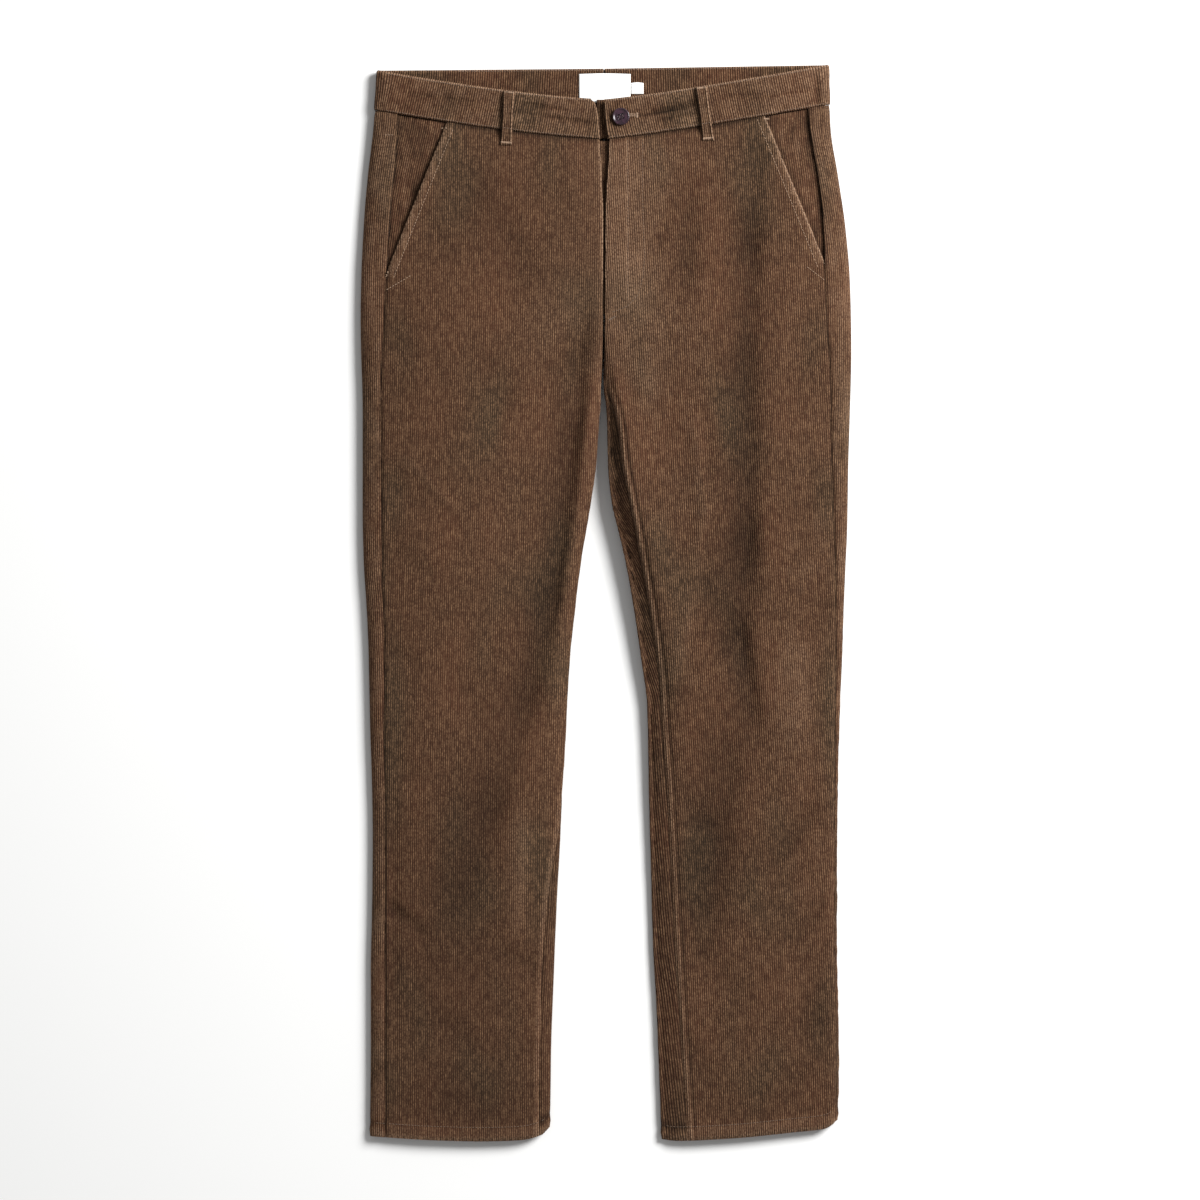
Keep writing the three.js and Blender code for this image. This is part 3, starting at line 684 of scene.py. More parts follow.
def addNode(tree, kind, settings=None, **links):
    # one shader node with its settings, and its inputs set to a value or linked to another node's output
    node = tree.nodes.new(kind)
    for key, value in (settings or {}).items():
        setattr(node, key, value)
    for key, value in links.items():
        name = key.replace("_", " ")
        socket = node.inputs[int(name[1:])] if name[0] == "i" and name[1:].isdigit() else node.inputs[name]
        if isinstance(value, bpy.types.NodeSocket):
            tree.links.new(value, socket)
        else:
            socket.default_value = value
    return node


def newMaterial(name):
    material = bpy.data.materials.new(name)
    material.use_nodes = True
    tree = material.node_tree
    tree.nodes.clear()
    return material, tree


corduroyLook = {
    "groove": "#281a12",
    "body": "#462d1f",
    "crest": "#86674c",
    "redPatch": "#523424",
    "olivePatch": "#3d2e21",
    # rubbed pile, and painted highlight on ridges and on strips that face the light
    "paleWearAndHighlight": "#9b7d64",
    # multiplied in as painted shade in folds, creases and strips facing away from the light, and for dark
    # seams and pile
    "pressed": "#6a6b69",
    "roughness": 0.9,
    "sheen": 0.3,
}


def cottonCorduroy(name, look):
    # Cotton corduroy, cut-pile woven and piece-dyed: matt, with painted highlights in streaks on the cords'
    # backs, grooves painted dark, partly as shade, and the pile in faint patches of warmer and cooler brown.
    material, tree = newMaterial(name)
    uv = addNode(tree, "ShaderNodeUVMap", {"uv_map": "cloth"}).outputs["UV"]
    parts = addNode(tree, "ShaderNodeSeparateXYZ", Vector=uv)
    # Threads wander a little, so the cords aren't ruled lines.
    wander = addNode(tree, "ShaderNodeMapping", Vector=uv, Scale=(90.0, 60.0, 1.0)).outputs["Vector"]
    wander = addNode(tree, "ShaderNodeTexNoise", Vector=wander, Scale=1.0, Detail=2.0).outputs["Fac"]
    shift = addNode(tree, "ShaderNodeMath", {"operation": "MULTIPLY_ADD"}, i0=wander, i1=0.4,
                    i2=-0.2).outputs[0]
    cordNumber = addNode(tree, "ShaderNodeMath", {"operation": "MULTIPLY_ADD"}, i0=parts.outputs["X"],
                         i1=1000 / cords["pitch"], i2=shift).outputs[0]
    wave = addNode(tree, "ShaderNodeMath", {"operation": "MULTIPLY"}, i0=cordNumber,
                   i1=2 * math.pi).outputs[0]
    cosine = addNode(tree, "ShaderNodeMath", {"operation": "COSINE"}, i0=wave).outputs[0]
    crest = addNode(tree, "ShaderNodeMapRange", Value=cosine, From_Min=-1.0, From_Max=1.0).outputs["Result"]

    def noise(along, across, detail, seed):
        # noise drawn out along the cords, by its size in millimetres across and along them
        place = addNode(tree, "ShaderNodeMapping", Vector=uv, Scale=(1000 / across, 1000 / along, 1.0),
                        Location=(seed, seed, 0)).outputs["Vector"]
        return addNode(tree, "ShaderNodeTexNoise", Vector=place, Scale=1.0, Detail=detail,
                       Roughness=0.6).outputs["Fac"]

    def between(value, low, high, to=1.0, start=0.0):
        return addNode(tree, "ShaderNodeMapRange", Value=value, From_Min=low, From_Max=high, To_Min=start,
                       To_Max=to).outputs["Result"]

    def blend(share, colour, other):
        mixed = addNode(tree, "ShaderNodeMix", {"data_type": "RGBA"}, i0=share, i6=colour, i7=other)
        return mixed.outputs[2]

    patch = noise(150.0, 60.0, 1.0, 3.1)  # patches of pile, as long as a hand
    flock = noise(11.0, 5.0, 3.0, 7.7)  # where the pile is brushed one way or the other
    streak = noise(9.0, 1.6, 2.0, 1.3)  # single cords that catch the light for a centimetre or so
    speck = noise(2.2, 1.1, 1.0, 5.9)  # tufts of pile
    body = blend(between(patch, 0.5, 0.7), toLinear(look["body"]), toLinear(look["redPatch"]))
    body = blend(between(patch, 0.48, 0.3), body, toLinear(look["olivePatch"]))
    # the grooves between the cords are painted dark, partly as shade
    body = blend(between(crest, 0.0, 0.6, 0.0, 0.62), body, toLinear(look["groove"]))
    tuft = addNode(tree, "ShaderNodeMath", {"operation": "MULTIPLY"}, i0=streak, i1=speck).outputs[0]
    # painted highlight: pale pile on the cords' backs where single cords and tufts catch the light
    shine = addNode(tree, "ShaderNodeMath", {"operation": "MULTIPLY"}, i0=between(crest, 0.15, 0.9),
                    i1=between(tuft, 0.17, 0.42)).outputs[0]
    body = blend(shine, body, toLinear(look["crest"]))
    body = blend(between(flock, 0.5, 0.28, 0.34), body, toLinear(look["groove"]))
    body = blend(between(flock, 0.52, 0.75, 0.22), body, toLinear(look["crest"]))
    wearAndShade = addNode(tree, "ShaderNodeAttribute", {"attribute_name": "wearAndShade"}).outputs["Fac"]
    onBacks = addNode(tree, "ShaderNodeMath", {"operation": "MULTIPLY"}, i0=between(speck, 0.3, 0.62),
                      i1=between(crest, 0.1, 0.8, 1.0, 0.3)).outputs[0]
    # paler where the attribute is above nought: rubbed pile, and painted highlight on ridges and sides
    # facing the light
    wearAndHighlightShare = addNode(tree, "ShaderNodeMath", {"operation": "MULTIPLY"}, i0=between(wearAndShade, 0.0, 1.0),
                     i1=onBacks).outputs[0]
    body = blend(wearAndHighlightShare, body, toLinear(look["paleWearAndHighlight"]))
    # darker where the attribute is below nought: painted shade, with dark seams and darker pile
    body = addNode(tree, "ShaderNodeMix", {"data_type": "RGBA", "blend_type": "MULTIPLY"},
                   i0=between(wearAndShade, 0.0, -1.0), i6=body, i7=toLinear(look["pressed"])).outputs[2]
    relief = addNode(tree, "ShaderNodeMath", {"operation": "ADD"}, i0=crest, i1=speck).outputs[0]
    bump = addNode(tree, "ShaderNodeBump", Height=relief, Strength=0.4, Distance=0.0004).outputs["Normal"]
    shader = addNode(tree, "ShaderNodeBsdfPrincipled", Base_Color=body, Roughness=look["roughness"],
                     IOR=1.46, Normal=bump)
    shader.inputs["Specular IOR Level"].default_value = 0.15
    shader.inputs["Sheen Weight"].default_value = look["sheen"]
    shader.inputs["Sheen Roughness"].default_value = 0.3
    shader.inputs["Sheen Tint"].default_value = toLinear("#c4b2a6")
    addNode(tree, "ShaderNodeOutputMaterial", Surface=shader.outputs["BSDF"])
    return material


corduroy = cottonCorduroy("cotton_corduroy_cut_pile", corduroyLook)
print("stage: corduroy made")


def legDown(half):
    def downAt(r, across, down, onTop):
        dip = waistSeam(half, across, down, onTop) + seamGap - waistband["backSeam"]
        return mix(waistband["backSeam"], half["hemAt"](across), r) + dip * (1 - ease(r, 0, 0.2))
    return downAt


# How the cords lean: how far the grain has moved outwards at a place down the garment.
grainOfFront = {-1: curveOf([[0, -2], [200, 0], [800, 12], [1075, 12]]),
                1: curveOf([[0, -12], [320, 6], [560, 19], [850, 36], [1075, 45]])}
leanOfBack = {-1: curveOf([[0, 0], [300, 0], [700, -14], [1075, -26]]),
              1: curveOf([[0, 0], [300, 5], [400, 16], [500, 32], [700, 42], [1075, 56]])}
hemLineUp = 14.0  # the hem's line of stitches is this far above its edge


def hemRelief(down, hemDown):
    # the hem's stitch line pulls in, and the doubled cloth below it stands out a little and is rubbed
    up = hemDown - down
    line = bell(up - hemLineUp, 1.2)
    below = ease(up, hemLineUp + 1, hemLineUp - 1.5)
    return -0.6 * line + 0.5 * below, 0.22 * below - 0.6 * line


def puckers(down, distance, seed):
    # short wrinkles across a seam, uneven along it
    size = 0.25 + 0.35 * (0.5 + 0.5 * noiseAt(down, down * 0, seed, (60.0, 1.0)))
    return size * noiseAt(down, down * 0, seed + 1, (5.5, 1.0)) * np.exp(-(distance / 9) ** 2)


frontPanel = {"gape": {-1: 2.4, 1: 0.8}, "pocketStitchIn": 8.5, "inseamRidge": {-1: 0.5, 1: 1.0},
              "tick": 2.6}  # -1 is the right half and 1 the left one


def frontCloth(half, name, seed):
    grain = arcOnTop(half, 120 + grainOfFront[half["side"]](sectionDowns))
    place = lambda down, u, r: along(grain, down) + u
    ends = lambda down: (along(half["frontStart"], down), along(half["frontEnd"], down))

    def detail(x, y, down, s, toLow, toHigh):
        up, hemWear = hemRelief(down, half["hemAt"](np.abs(x)))
        onPocket = ease(half["pocket"]["bottomDown"] - down, 0, 6)
        stitched = -0.4 * bell(toLow - frontPanel["pocketStitchIn"], 1.0) + 0.35 * bell(toLow - 4, 3)
        crumple = noiseAt(toLow, down, seed + 40, (4.0, 2.1)) * ease(toLow, 9.5, 7.5)
        stitched = stitched + 0.7 * crumple
        up = up + stitched * onPocket
        middle = bell(down - 130, 55)
        gape = frontPanel["gape"][half["side"]]  # the right pocket gapes
        up = up + gape * (0.35 + middle) * bell(toLow, 16) * onPocket
        up = up + puckers(down, toLow, seed + 20) * (1 - onPocket)
        # the inseam's turned allowances make a ridge with a ticking of small dents
        below = ease(down, 300, 340)
        size = frontPanel["inseamRidge"][half["side"]] * mix(1, 0.55, ease(down, 500, 700))
        ridge = bell(toHigh - 3.4, 2.4) - 0.5 * bell(toHigh - 7.6, 1.2)
        ticking = np.abs(np.sin(math.pi * (down + 0.8 * toHigh) / frontPanel["tick"]))
        up = up + below * size * (0.9 * ridge - 0.3 * ticking * ease(toHigh, 7.5, 6))
        up = up + puckers(down, toHigh, seed + 30) * 0.6 * below
        seamDown = down - waistSeam(half, np.abs(x), down, True)
        if half["side"] > 0:  # the fly's folded facing and its two lines of stitches
            onFly = ease(down, 250, 225)
            facing = ease(x, -3, 2) * ease(x, 25, 19)
            up = up + onFly * (0.9 * facing - 0.3 * bell(x - 22, 1.0))
            up = up - 0.4 * bell(x - 37.5, 1.2) * ease(down, 185, 160)
            up = up + 0.35 * noiseAt(x, y, seed + 50, (9.0, 3.4)) * ease(x, 42, 34) * onFly
        # painted shade in the folds, painted highlight on the ridges, and patches
        shadeAndWear = hemWear + pressedPile(x, y)
        shadeAndWear = shadeAndWear + onPocket * (0.7 * bell(toLow, 2.0) + 0.3 * ease(toLow, 9, 6))
        shadeAndWear = shadeAndWear + onPocket * 0.45 * crumple
        if half["side"] > 0:
            shadeAndWear = shadeAndWear + 0.1 * ease(down, 262, 235) * ease(x, 42, 26)
            shadeAndWear = shadeAndWear + 0.12 * noiseAt(x, y, seed + 52, (7.0, 5.0))
            shadeAndWear = shadeAndWear + 0.3 * ease(down, 240, 200) * bell(x - 20.5, 1.0)
        shadeAndWear = shadeAndWear + below * size * (0.62 * ease(toHigh, 6.8, 5.2) - 0.5 * bell(toHigh - 8.4, 1.6))
        shadeAndWear = shadeAndWear + below * 0.6 * (ticking - 0.5) * ease(toHigh, 7, 5)
        # pale along the fly's edges, rubbed and partly a painted highlight
        shadeAndWear = shadeAndWear + 0.8 * bell(toHigh - 0.8, 1.1) * ease(down, 250, 200)
        shadeAndWear = shadeAndWear - 0.75 * bell(seamDown, 1.6) - 0.45 * bell(toLow, 1.3) * (1 - onPocket)
        return up, shadeAndWear

    edges = {"low": ("seam", 0.9), "high": ("seam", 0.8), "top": ("seam", 0.6), "bottom": ("fold", 0.8)}
    return clothPanel(name, half, place, legDown(half), ends, np.linspace(0, 1, 190), (-150, 160), edges,
                      corduroy, detail, seed=seed)


backPanel = {"seamStands": 2.0, "innerShade": {-1: 0.1, 1: 0.22}}


def backCloth(half, name, seed):
    outerAt = half["outer"](sectionDowns)
    lean = leanOfBack[half["side"]](sectionDowns)

    def place(down, u, r):
        straight = (along(outerAt, down) - 238) * ease(u, 10, 90)
        t = u + straight + along(lean, down) * ease(u, -20, 190)
        return along(half["perimeter"], down) - t

    ends = lambda down: (along(half["backEnd"], down), along(half["backStart"], down))

    def detail(x, y, down, s, toLow, toHigh):
        up, hemWear = hemRelief(down, half["hemAt"](np.abs(x)))
        up = up + puckers(down, toHigh, seed + 20)
        up = up + puckers(down, toLow, seed + 30) * 0.6 * ease(down, 330, 380)
        innerStrip = ease(s - along(half["tip"], down), 2, -2)
        outerStrip = ease(s - along(half["perimeter"], down), -2, 2)
        if half["side"] > 0:  # the left side seam stands up beside the pocket, over the facing
            up = up + backPanel["seamStands"] * bell(toHigh, 12) * ease(down, 222, 196) * outerStrip
        # painted shade on the inner strip, which faces away from the light; the outer strip painted paler,
        # partly as sheen
        shade = backPanel["innerShade"][half["side"]]
        shadeAndWear = -innerStrip * (shade * ease(down, 700, 480) + 0.18 * ease(down, 480, 700))
        shadeAndWear = shadeAndWear + 0.16 * outerStrip + hemWear
        shadeAndWear = shadeAndWear + outerStrip * 0.2 * noiseAt(x, y, seed + 60, (6.0, 16.0))
        # painted shade next to the side seam by the pocket
        shadeAndWear = shadeAndWear - outerStrip * 0.5 * bell(toHigh, 1.5) * ease(down, 190, 220)
        return up, shadeAndWear

    edges = {"low": ("seam", 0.8), "high": ("seam", 0.9), "top": ("seam", 0.6), "bottom": ("fold", 0.8)}
    return clothPanel(name, half, place, legDown(half), ends, np.linspace(0, 1, 150), (-46, 330), edges,
                      corduroy, detail, seed=seed)


pocketFacing = {"underBack": 8, "underFront": 34, "drop": 0.7, "thickness": 1.3,
                "seamShade": {-1: 1.6, 1: 5.0},
                "lean": {-1: -0.07, 1: 0.07}}  # how far its cords move inwards for each millimetre down


def facingCloth(half, name, seed):
    d = sectionDowns
    fromW = half["outer"](d) - half["outseam"](d)
    mouth = np.minimum(pocketAcross(half, d), fromW)
    startArc = arcOnTop(half, fromW + pocketFacing["underBack"])
    endArc = arcOnTop(half, mouth - pocketFacing["underFront"])
    place = lambda down, u, r: along(startArc, 120.0) + u + pocketFacing["lean"][half["side"]] * (down - 120)
    ends = lambda down: (along(startArc, down), along(endArc, down))
    downAt = lambda r, across, down, onTop: mix(waistSeam(half, across, down, True) + 0.8,
                                                half["pocket"]["bottomDown"] + 8, r)
    edges = {"low": ("seam", 0.2), "high": ("seam", 0.2), "top": ("seam", 0.2), "bottom": ("seam", 0.2)}

    def detail(x, y, down, s, toLow, toHigh):
        # painted shade: darker where the pocket's mouth and the side seam shade it
        off = along(half["slantArc"], down) - s
        side = s - along(half["outseamArc"], down)
        up = 0.5 * noiseAt(x, down, seed + 2, (13.0, 34.0)) + 0.3 * noiseAt(x, down, seed + 3, (5.0, 9.0))
        shadeAndWear = -0.1 - 0.3 * ease(off, 9, 0) - 0.5 * bell(side, pocketFacing["seamShade"][half["side"]])
        shadeAndWear = shadeAndWear + 0.22 * noiseAt(x, down, seed + 4, (8.0, 24.0))
        return up, shadeAndWear + 0.25 * noiseAt(x, down, seed + 5, (3.0, 7.0))

    under = -(clothThickness + pocketFacing["drop"])
    return clothPanel(name, half, place, downAt, ends, np.linspace(0, 1, 40), (-40, 130), edges, corduroy,
                      detail, proud=under, thickness=pocketFacing["thickness"], seed=seed, length=160)


bandPitch = 2.32
# How far across each half of the waistband reaches, which slants, with its top corner rounded.
frontOfBand = {
    -1: curveOf([[35.4, 15.5], [36.2, 13.2], [38, 11.4], [48, 8.6], [57, 7.4], [68, 6.6], [75, 5.8]]),
    1: curveOf([[34.2, -1.8], [35.4, -3.4], [38, -4.0], [48, -2.2], [57, -0.6], [68, 1.2], [75, 1.8]]),
}
bandCreases = [  # as shownCreases
    [34, 485, 93, 498, 1.5, 4.5, 1.7],
    [48, 480, 90, 488, 1.2, 3.5, 1.0],
    [4, 492, 10, 474, 2, 3, 1.0],
    [112, 503, 150, 508, 1.6, 4, 0.8],
    [210, 530, 213, 492, 2.5, 4, 1.3],
    [-88, 500, -36, 491, 1.4, 4, 1.2],
    [-60, 486, -12, 479, 1.4, 4, 1.3],
    [-200, 509, -128, 500, 1.6, 5, 0.9],
]


def waistbandCloth(half, name, seed):
    reachAt = np.maximum(frontOfBand[half["side"]](sectionDowns), half["inner"](sectionDowns) + 0.2)
    frontArc = half["perimeter"] + arcOnTop(half, reachAt)
    ends = lambda down: (along(half["seatArc"], down) - 0.12, along(frontArc, down))
    height = waistband["height"]
    downAt = lambda r, across, down, onTop: waistSeam(half, across, down, onTop) - height * (1 - r)

    def place(down, u, r):
        # the cords stand square to the band, which slants down to its front
        across = np.clip(225 - u, 0, 225)
        slope = (waistSeam(half, across + 2, down, True) - waistSeam(half, across - 2, down, True)) / 4
        return along(half["perimeter"], down) + u + slope * (r - 0.5) * height * ease(u, 0, 20)

    def detail(x, y, down, s, toLow, toHigh):
        inFront = s > along(half["perimeter"], down)
        r = 1 - (waistSeam(half, np.abs(x), down, inFront) - down) / height
        wavy = (r - 0.56 + 0.07 * noiseAt(x, x * 0, seed, (46.0, 1.0))) * 40
        often = ease(noiseAt(x, x * 0, seed + 4, (30.0, 1.0)), -0.5, 0.5)
        up = -0.9 * often * bell(wavy, np.where(wavy > 0, 1.6, 4.0))
        up = up + 0.35 * noiseAt(x, down, seed + 5, (14.0, 9.0))
        creased = creaseDepth(x, y, bandCreases)
        up = up - creased
        for line in (2.2, 37.8):
            up = up - 0.22 * bell(r * 40 - line, 0.8)
        # painted shade in the band's creases and along its wavy crease
        shadeAndWear = 0.16 - 0.35 * creased + 0.2 * noiseAt(x, down, seed + 8, (11.0, 17.0))
        shadeAndWear = shadeAndWear + 0.16 * noiseAt(x, down, seed + 9, (3.0, 6.0))
        shadeAndWear = shadeAndWear - 0.45 * often * bell(wavy - 0.5, 1.4) + 0.6 * bell(r * 40 - 1.1, 1.0)
        shadeAndWear = shadeAndWear + 0.5 * bell(r * 40 - 38.0, 0.8) - 0.9 * bell(r * 40 - 39.7, 0.6)
        behind = s < along(half["perimeter"], down)
        # painted shade on the inside of the back band, under the front one
        shadeAndWear = shadeAndWear - 0.1 * behind
        if half["side"] > 0:
            shadeAndWear = shadeAndWear + 0.2 * ease(x, 120, 180) * ~behind
        return up, shadeAndWear

    edges = {"low": ("seam", 0.2), "high": ("fold", 1.3), "top": ("fold", 1.3), "bottom": ("roll", 0.9)}
    return clothPanel(name, half, place, downAt, ends, np.linspace(0, 1, 27), (-225, 225), edges, corduroy,
                      detail, proud=waistband["proud"], thickness=waistband["thickness"], pitch=bandPitch,
                      cordsInside=True, seed=seed, length=waistband["height"], crisp=1.5)


def heightAt(x, down):
    # the height of the garment's top anywhere seen from above
    onRight = x < -right["inner"](down)
    acrossRight = np.maximum(-x, right["inner"](down) + 0.1)
    acrossLeft = np.maximum(x, left["inner"](down) + 0.1)
    heightRight = shownHeight(right, down, acrossRight, topHeight(right, down, acrossRight))
    heightLeft = shownHeight(left, down, acrossLeft, topHeight(left, down, acrossLeft))
    return np.where(onRight, heightRight, heightLeft)


def middleLayer(name, xRange, rowCount, thickness, pitch, placeOf, seed):
    # cloth in the middle of the front, at a depth under the garment's top
    step = pitch / cords["perCord"]
    x = np.unique(np.r_[np.arange(xRange[0], xRange[1], step), xRange[1]])[None, :]
    r = np.linspace(0, 1, rowCount)[:, None]
    down, depth = placeOf(x + 0 * r, r + 0 * x)
    x = x + 0 * r
    z = heightAt(x, down) - depth
    edge = np.minimum(np.minimum(x - xRange[0], xRange[1] - x), np.minimum(r, 1 - r) * 60)
    cord = cordHeight(x * cords["pitch"] / pitch, down, seed) - 0.5 * (1 - quarter(edge / 1.5))
    outer = np.stack([x, garmentLength / 2 - down, z + cord], -1)
    inner = np.stack([x, garmentLength / 2 - down, z - thickness], -1)
    uv = np.stack([x * cords["pitch"] / pitch, down], -1)
    return layeredPiece(name, outer, inner, uv, corduroy, 0 * x)


underlap = {"x": (-9.2, 34), "height": waistband["height"] - 1, "thickness": 2.7}


def underlapCloth():
    # the right waistband's end goes on under the left one, to carry the button
    top = right["waist"]["front"] - waistband["height"]
    placeOf = lambda x, r: (top + underlap["height"] * r, 6.2 - 2.0 * ease(x, 0, 6))
    return middleLayer("waistband_underlap_cloth", underlap["x"], 14, underlap["thickness"], bandPitch,
                       placeOf, 41)


flyShield = {"x": (-14, 36), "fromDown": 76.5, "toDown": 250, "shorter": 45, "under": 3.4, "thickness": 1.2}


def flyShieldCloth():
    # the cloth behind the fly, which shows dark between its two edges
    def placeOf(x, r):
        foot = flyShield["toDown"] - flyShield["shorter"] * ease(x, 0, flyShield["x"][1])
        return mix(flyShield["fromDown"], foot, r), clothThickness + flyShield["under"] + 0 * x

    return middleLayer("fly_shield_cloth", flyShield["x"], 60, flyShield["thickness"], cords["pitch"],
                       placeOf, 43)


beltLoop = {"width": 11, "length": 54, "thickness": 1.5, "arch": 2.6}


def loopProfile(v, r, seed):
    # folded cloth: two rolled sides with cords along them
    x = v * beltLoop["width"]
    cord = 0.30 * np.abs(np.cos(math.pi * x / 2.2)) ** 0.8
    sides = 0.9 * (1 - quarter((beltLoop["width"] / 2 - np.abs(x)) / 1.6))
    seam = 0.45 * bell(x - 2.6, 0.6) - 0.35 * ease(x, 2.6, 3.6)
    return cord - sides - seam + 0.12 * noiseAt(x, r * beltLoop["length"], seed, (2.0, 5.0))


def frontLoop(half, across, lean, name, seed):
    start = waistSeam(half, across, 30, True) - waistband["height"] + 0.6
    standing = curveOf([[0, 0.1], [0.12, 1], [0.7, 1], [0.9, 0.15], [1, 0]])
    r = np.linspace(0, 1, 55)[:, None]
    v = np.linspace(-0.5, 0.5, 41)[None, :]
    down = start + beltLoop["length"] * r + 0 * v
    flare = 0.96 + 0.05 * np.cos(2 * math.pi * r) + 0.12 * ease(r, 0.9, 1)
    x = half["side"] * (across + lean * r) + beltLoop["width"] * v * flare
    base = heightAt(x, down) + layerGap + waistband["proud"] * (1 - ease(r, 0.78, 0.9))
    z = base + beltLoop["arch"] * standing(r)
    ends = 1.0 * (1 - quarter(np.minimum(r, 1 - r) * beltLoop["length"] / 1.6))
    tack = -0.5 * bell((1 - r) * beltLoop["length"] - 2.6, 1.2)
    top = z + beltLoop["thickness"] + loopProfile(v, r, seed) - ends + tack
    outer = np.stack([x, garmentLength / 2 - down, top], -1)
    inner = np.stack([x, garmentLength / 2 - down, mix(base, z, 0.3) + 0 * x], -1)
    uv = np.stack([v * beltLoop["width"] + 0 * r, down], -1)
    # The cloth is doubled towards one side, where its turned edge rubs pale.
    wide = v * beltLoop["width"]
    turned = 0.9 * bell(4.51 - wide, 1.1) + 0.5 * bell(wide + 5.17, 0.9)
    wearAndShade = 0.15 + turned - 0.5 * bell(2.42 - wide, 1.0) + 0.5 * ease(r, 0.95, 1)
    wearAndShade = wearAndShade + 0.25 * noiseAt(wide, r * beltLoop["length"], seed + 1, (2.2, 6.0))
    return layeredPiece(name, outer, inner, uv, corduroy, wearAndShade)


def backLoop(middle, name, seed):
    # pressed flat between the garment and the surface
    r = np.linspace(0, 1, 40)[:, None]
    v = np.linspace(-0.5, 0.5, 37)[None, :]
    down = 4.5 + (beltLoop["length"] - 2) * r + 0 * v
    x = middle + beltLoop["width"] * v + 0 * r
    ends = 0.6 * (1 - quarter(np.minimum(r, 1 - r) * 50 / 1.6))
    lower = np.maximum(0.45 - loopProfile(v, r, seed) + ends, 0.02)
    outer = np.stack([x, garmentLength / 2 - down, np.minimum(lower, 1.2)], -1)
    inner = np.stack([x, garmentLength / 2 - down, 1.5 + 0 * x], -1)
    uv = np.stack([v * beltLoop["width"] + 0 * r, down], -1)
    return layeredPiece(name, outer, inner, uv, corduroy, 0 * x)


labels = {"waist": {"x": (-27, 24.5), "down": (9, 38), "thickness": 0.6},
          "size": {"x": (25, 37.5), "down": (18, 29), "thickness": 0.5}}


def wovenLabel(name, label, material):
    # a satin label lies on the inside of the back waistband, with its ends folded under
    (fromX, toX), (fromDown, toDown) = label["x"], label["down"]
    z = loftAt["lift"](20) + waistband["thickness"] - waistband["proud"] + layerGap + 0.15
    x = np.linspace(fromX, toX, 61)[None, :]
    d = np.linspace(fromDown, toDown, 41)[:, None]
    x, d = x + 0 * d, d + 0 * x
    edge = np.minimum(np.minimum(x - fromX, toX - x), np.minimum(d - fromDown, toDown - d))
    bow = 0.7 * np.cos(math.pi * (x - (fromX + toX) / 2) / (toX - fromX)) * ease(d, fromDown + 10, fromDown)
    top = z + label["thickness"] + 0.15 * noiseAt(x, d, 51, (9.0, 7.0)) - 0.5 * (1 - quarter(edge / 1.0))
    outer = np.stack([x, garmentLength / 2 - d + bow, top], -1)
    inner = np.stack([x, garmentLength / 2 - d + bow, z + 0 * x], -1)
    return layeredPiece(name, outer, inner, np.stack([x, d], -1), material)


button = {"radius": 8.8, "rim": 1.7, "dishHeight": 2.3, "holeRadius": 0.95, "holeSpacing": 3.6,
          "x": 15, "down": 52.7, "clearance": 0.3}


def roundButton(name, material):
    # a moulded button with a raised rim, a dished middle and four holes
    R, rim = button["radius"], button["rim"]
    profile = [[R - 1.2, 0], [R - 0.6, 0.25], [R - 0.2, 0.9], [R, 1.6], [R - 0.1, 2.3], [R - 0.45, 3.0],
               [R - 0.9, 3.3], [R - rim + 0.2, 3.25], [R - rim - 0.2, 2.85], [R - rim - 0.8, 2.42]]
    shape = bmesh.new()
    count = 96
    angles = np.linspace(0, 2 * math.pi, count, endpoint=False)

    def ring(radius, height):
        spots = []
        for a in angles:
            x, y = radius * math.cos(a), radius * math.sin(a)
            z = height
            if radius < 4.6:
                for i, j in ((-1, -1), (1, -1), (1, 1), (-1, 1)):
                    off = math.hypot(x - i * button["holeSpacing"] / 2, y - j * button["holeSpacing"] / 2)
                    z -= 2.0 * float(ease(off, button["holeRadius"] + 0.14, button["holeRadius"] - 0.14))
            spots.append(shape.verts.new((x * mm, y * mm, z * mm)))
        return spots

    rings = [ring(r, z) for r, z in profile]
    rings += [ring(r, button["dishHeight"] + 0.12 * (r / 6.3) ** 2) for r in np.linspace(6.2, 0.12, 50)]
    for low, high in zip(rings[:-1], rings[1:]):
        for k in range(count):
            shape.faces.new((low[k], low[(k + 1) % count], high[(k + 1) % count], high[k]))
    shape.faces.new(list(reversed(rings[0])))
    shape.faces.new(rings[-1])
    mesh = bpy.data.meshes.new(name)
    bmesh.ops.recalc_face_normals(shape, faces=shape.faces)
    shape.to_mesh(mesh)
    shape.free()
    mesh.polygons.foreach_set("use_smooth", np.ones(len(mesh.polygons), bool))
    mesh.materials.append(material)
    piece = bpy.data.objects.new(name, mesh)
    bpy.context.collection.objects.link(piece)
    under = float(heightAt(button["x"], button["down"] + R)) + waistband["proud"]
    above = float(heightAt(button["x"], button["down"] - R)) + waistband["proud"]
    piece.rotation_euler = (math.atan2(above - under, 2 * R), 0, 0.35)
    piece.location = (button["x"] * mm, (garmentLength / 2 - button["down"]) * mm,
                      ((above + under) / 2 + button["clearance"]) * mm)
    return piece


def finishPiece(piece, node):
    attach(piece, "root")
    if node is not None:
        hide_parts(node)
    return piece


wovenLabelLook = {"colour": "#f4f4f2", "threads": 0.25, "roughness": 0.55}


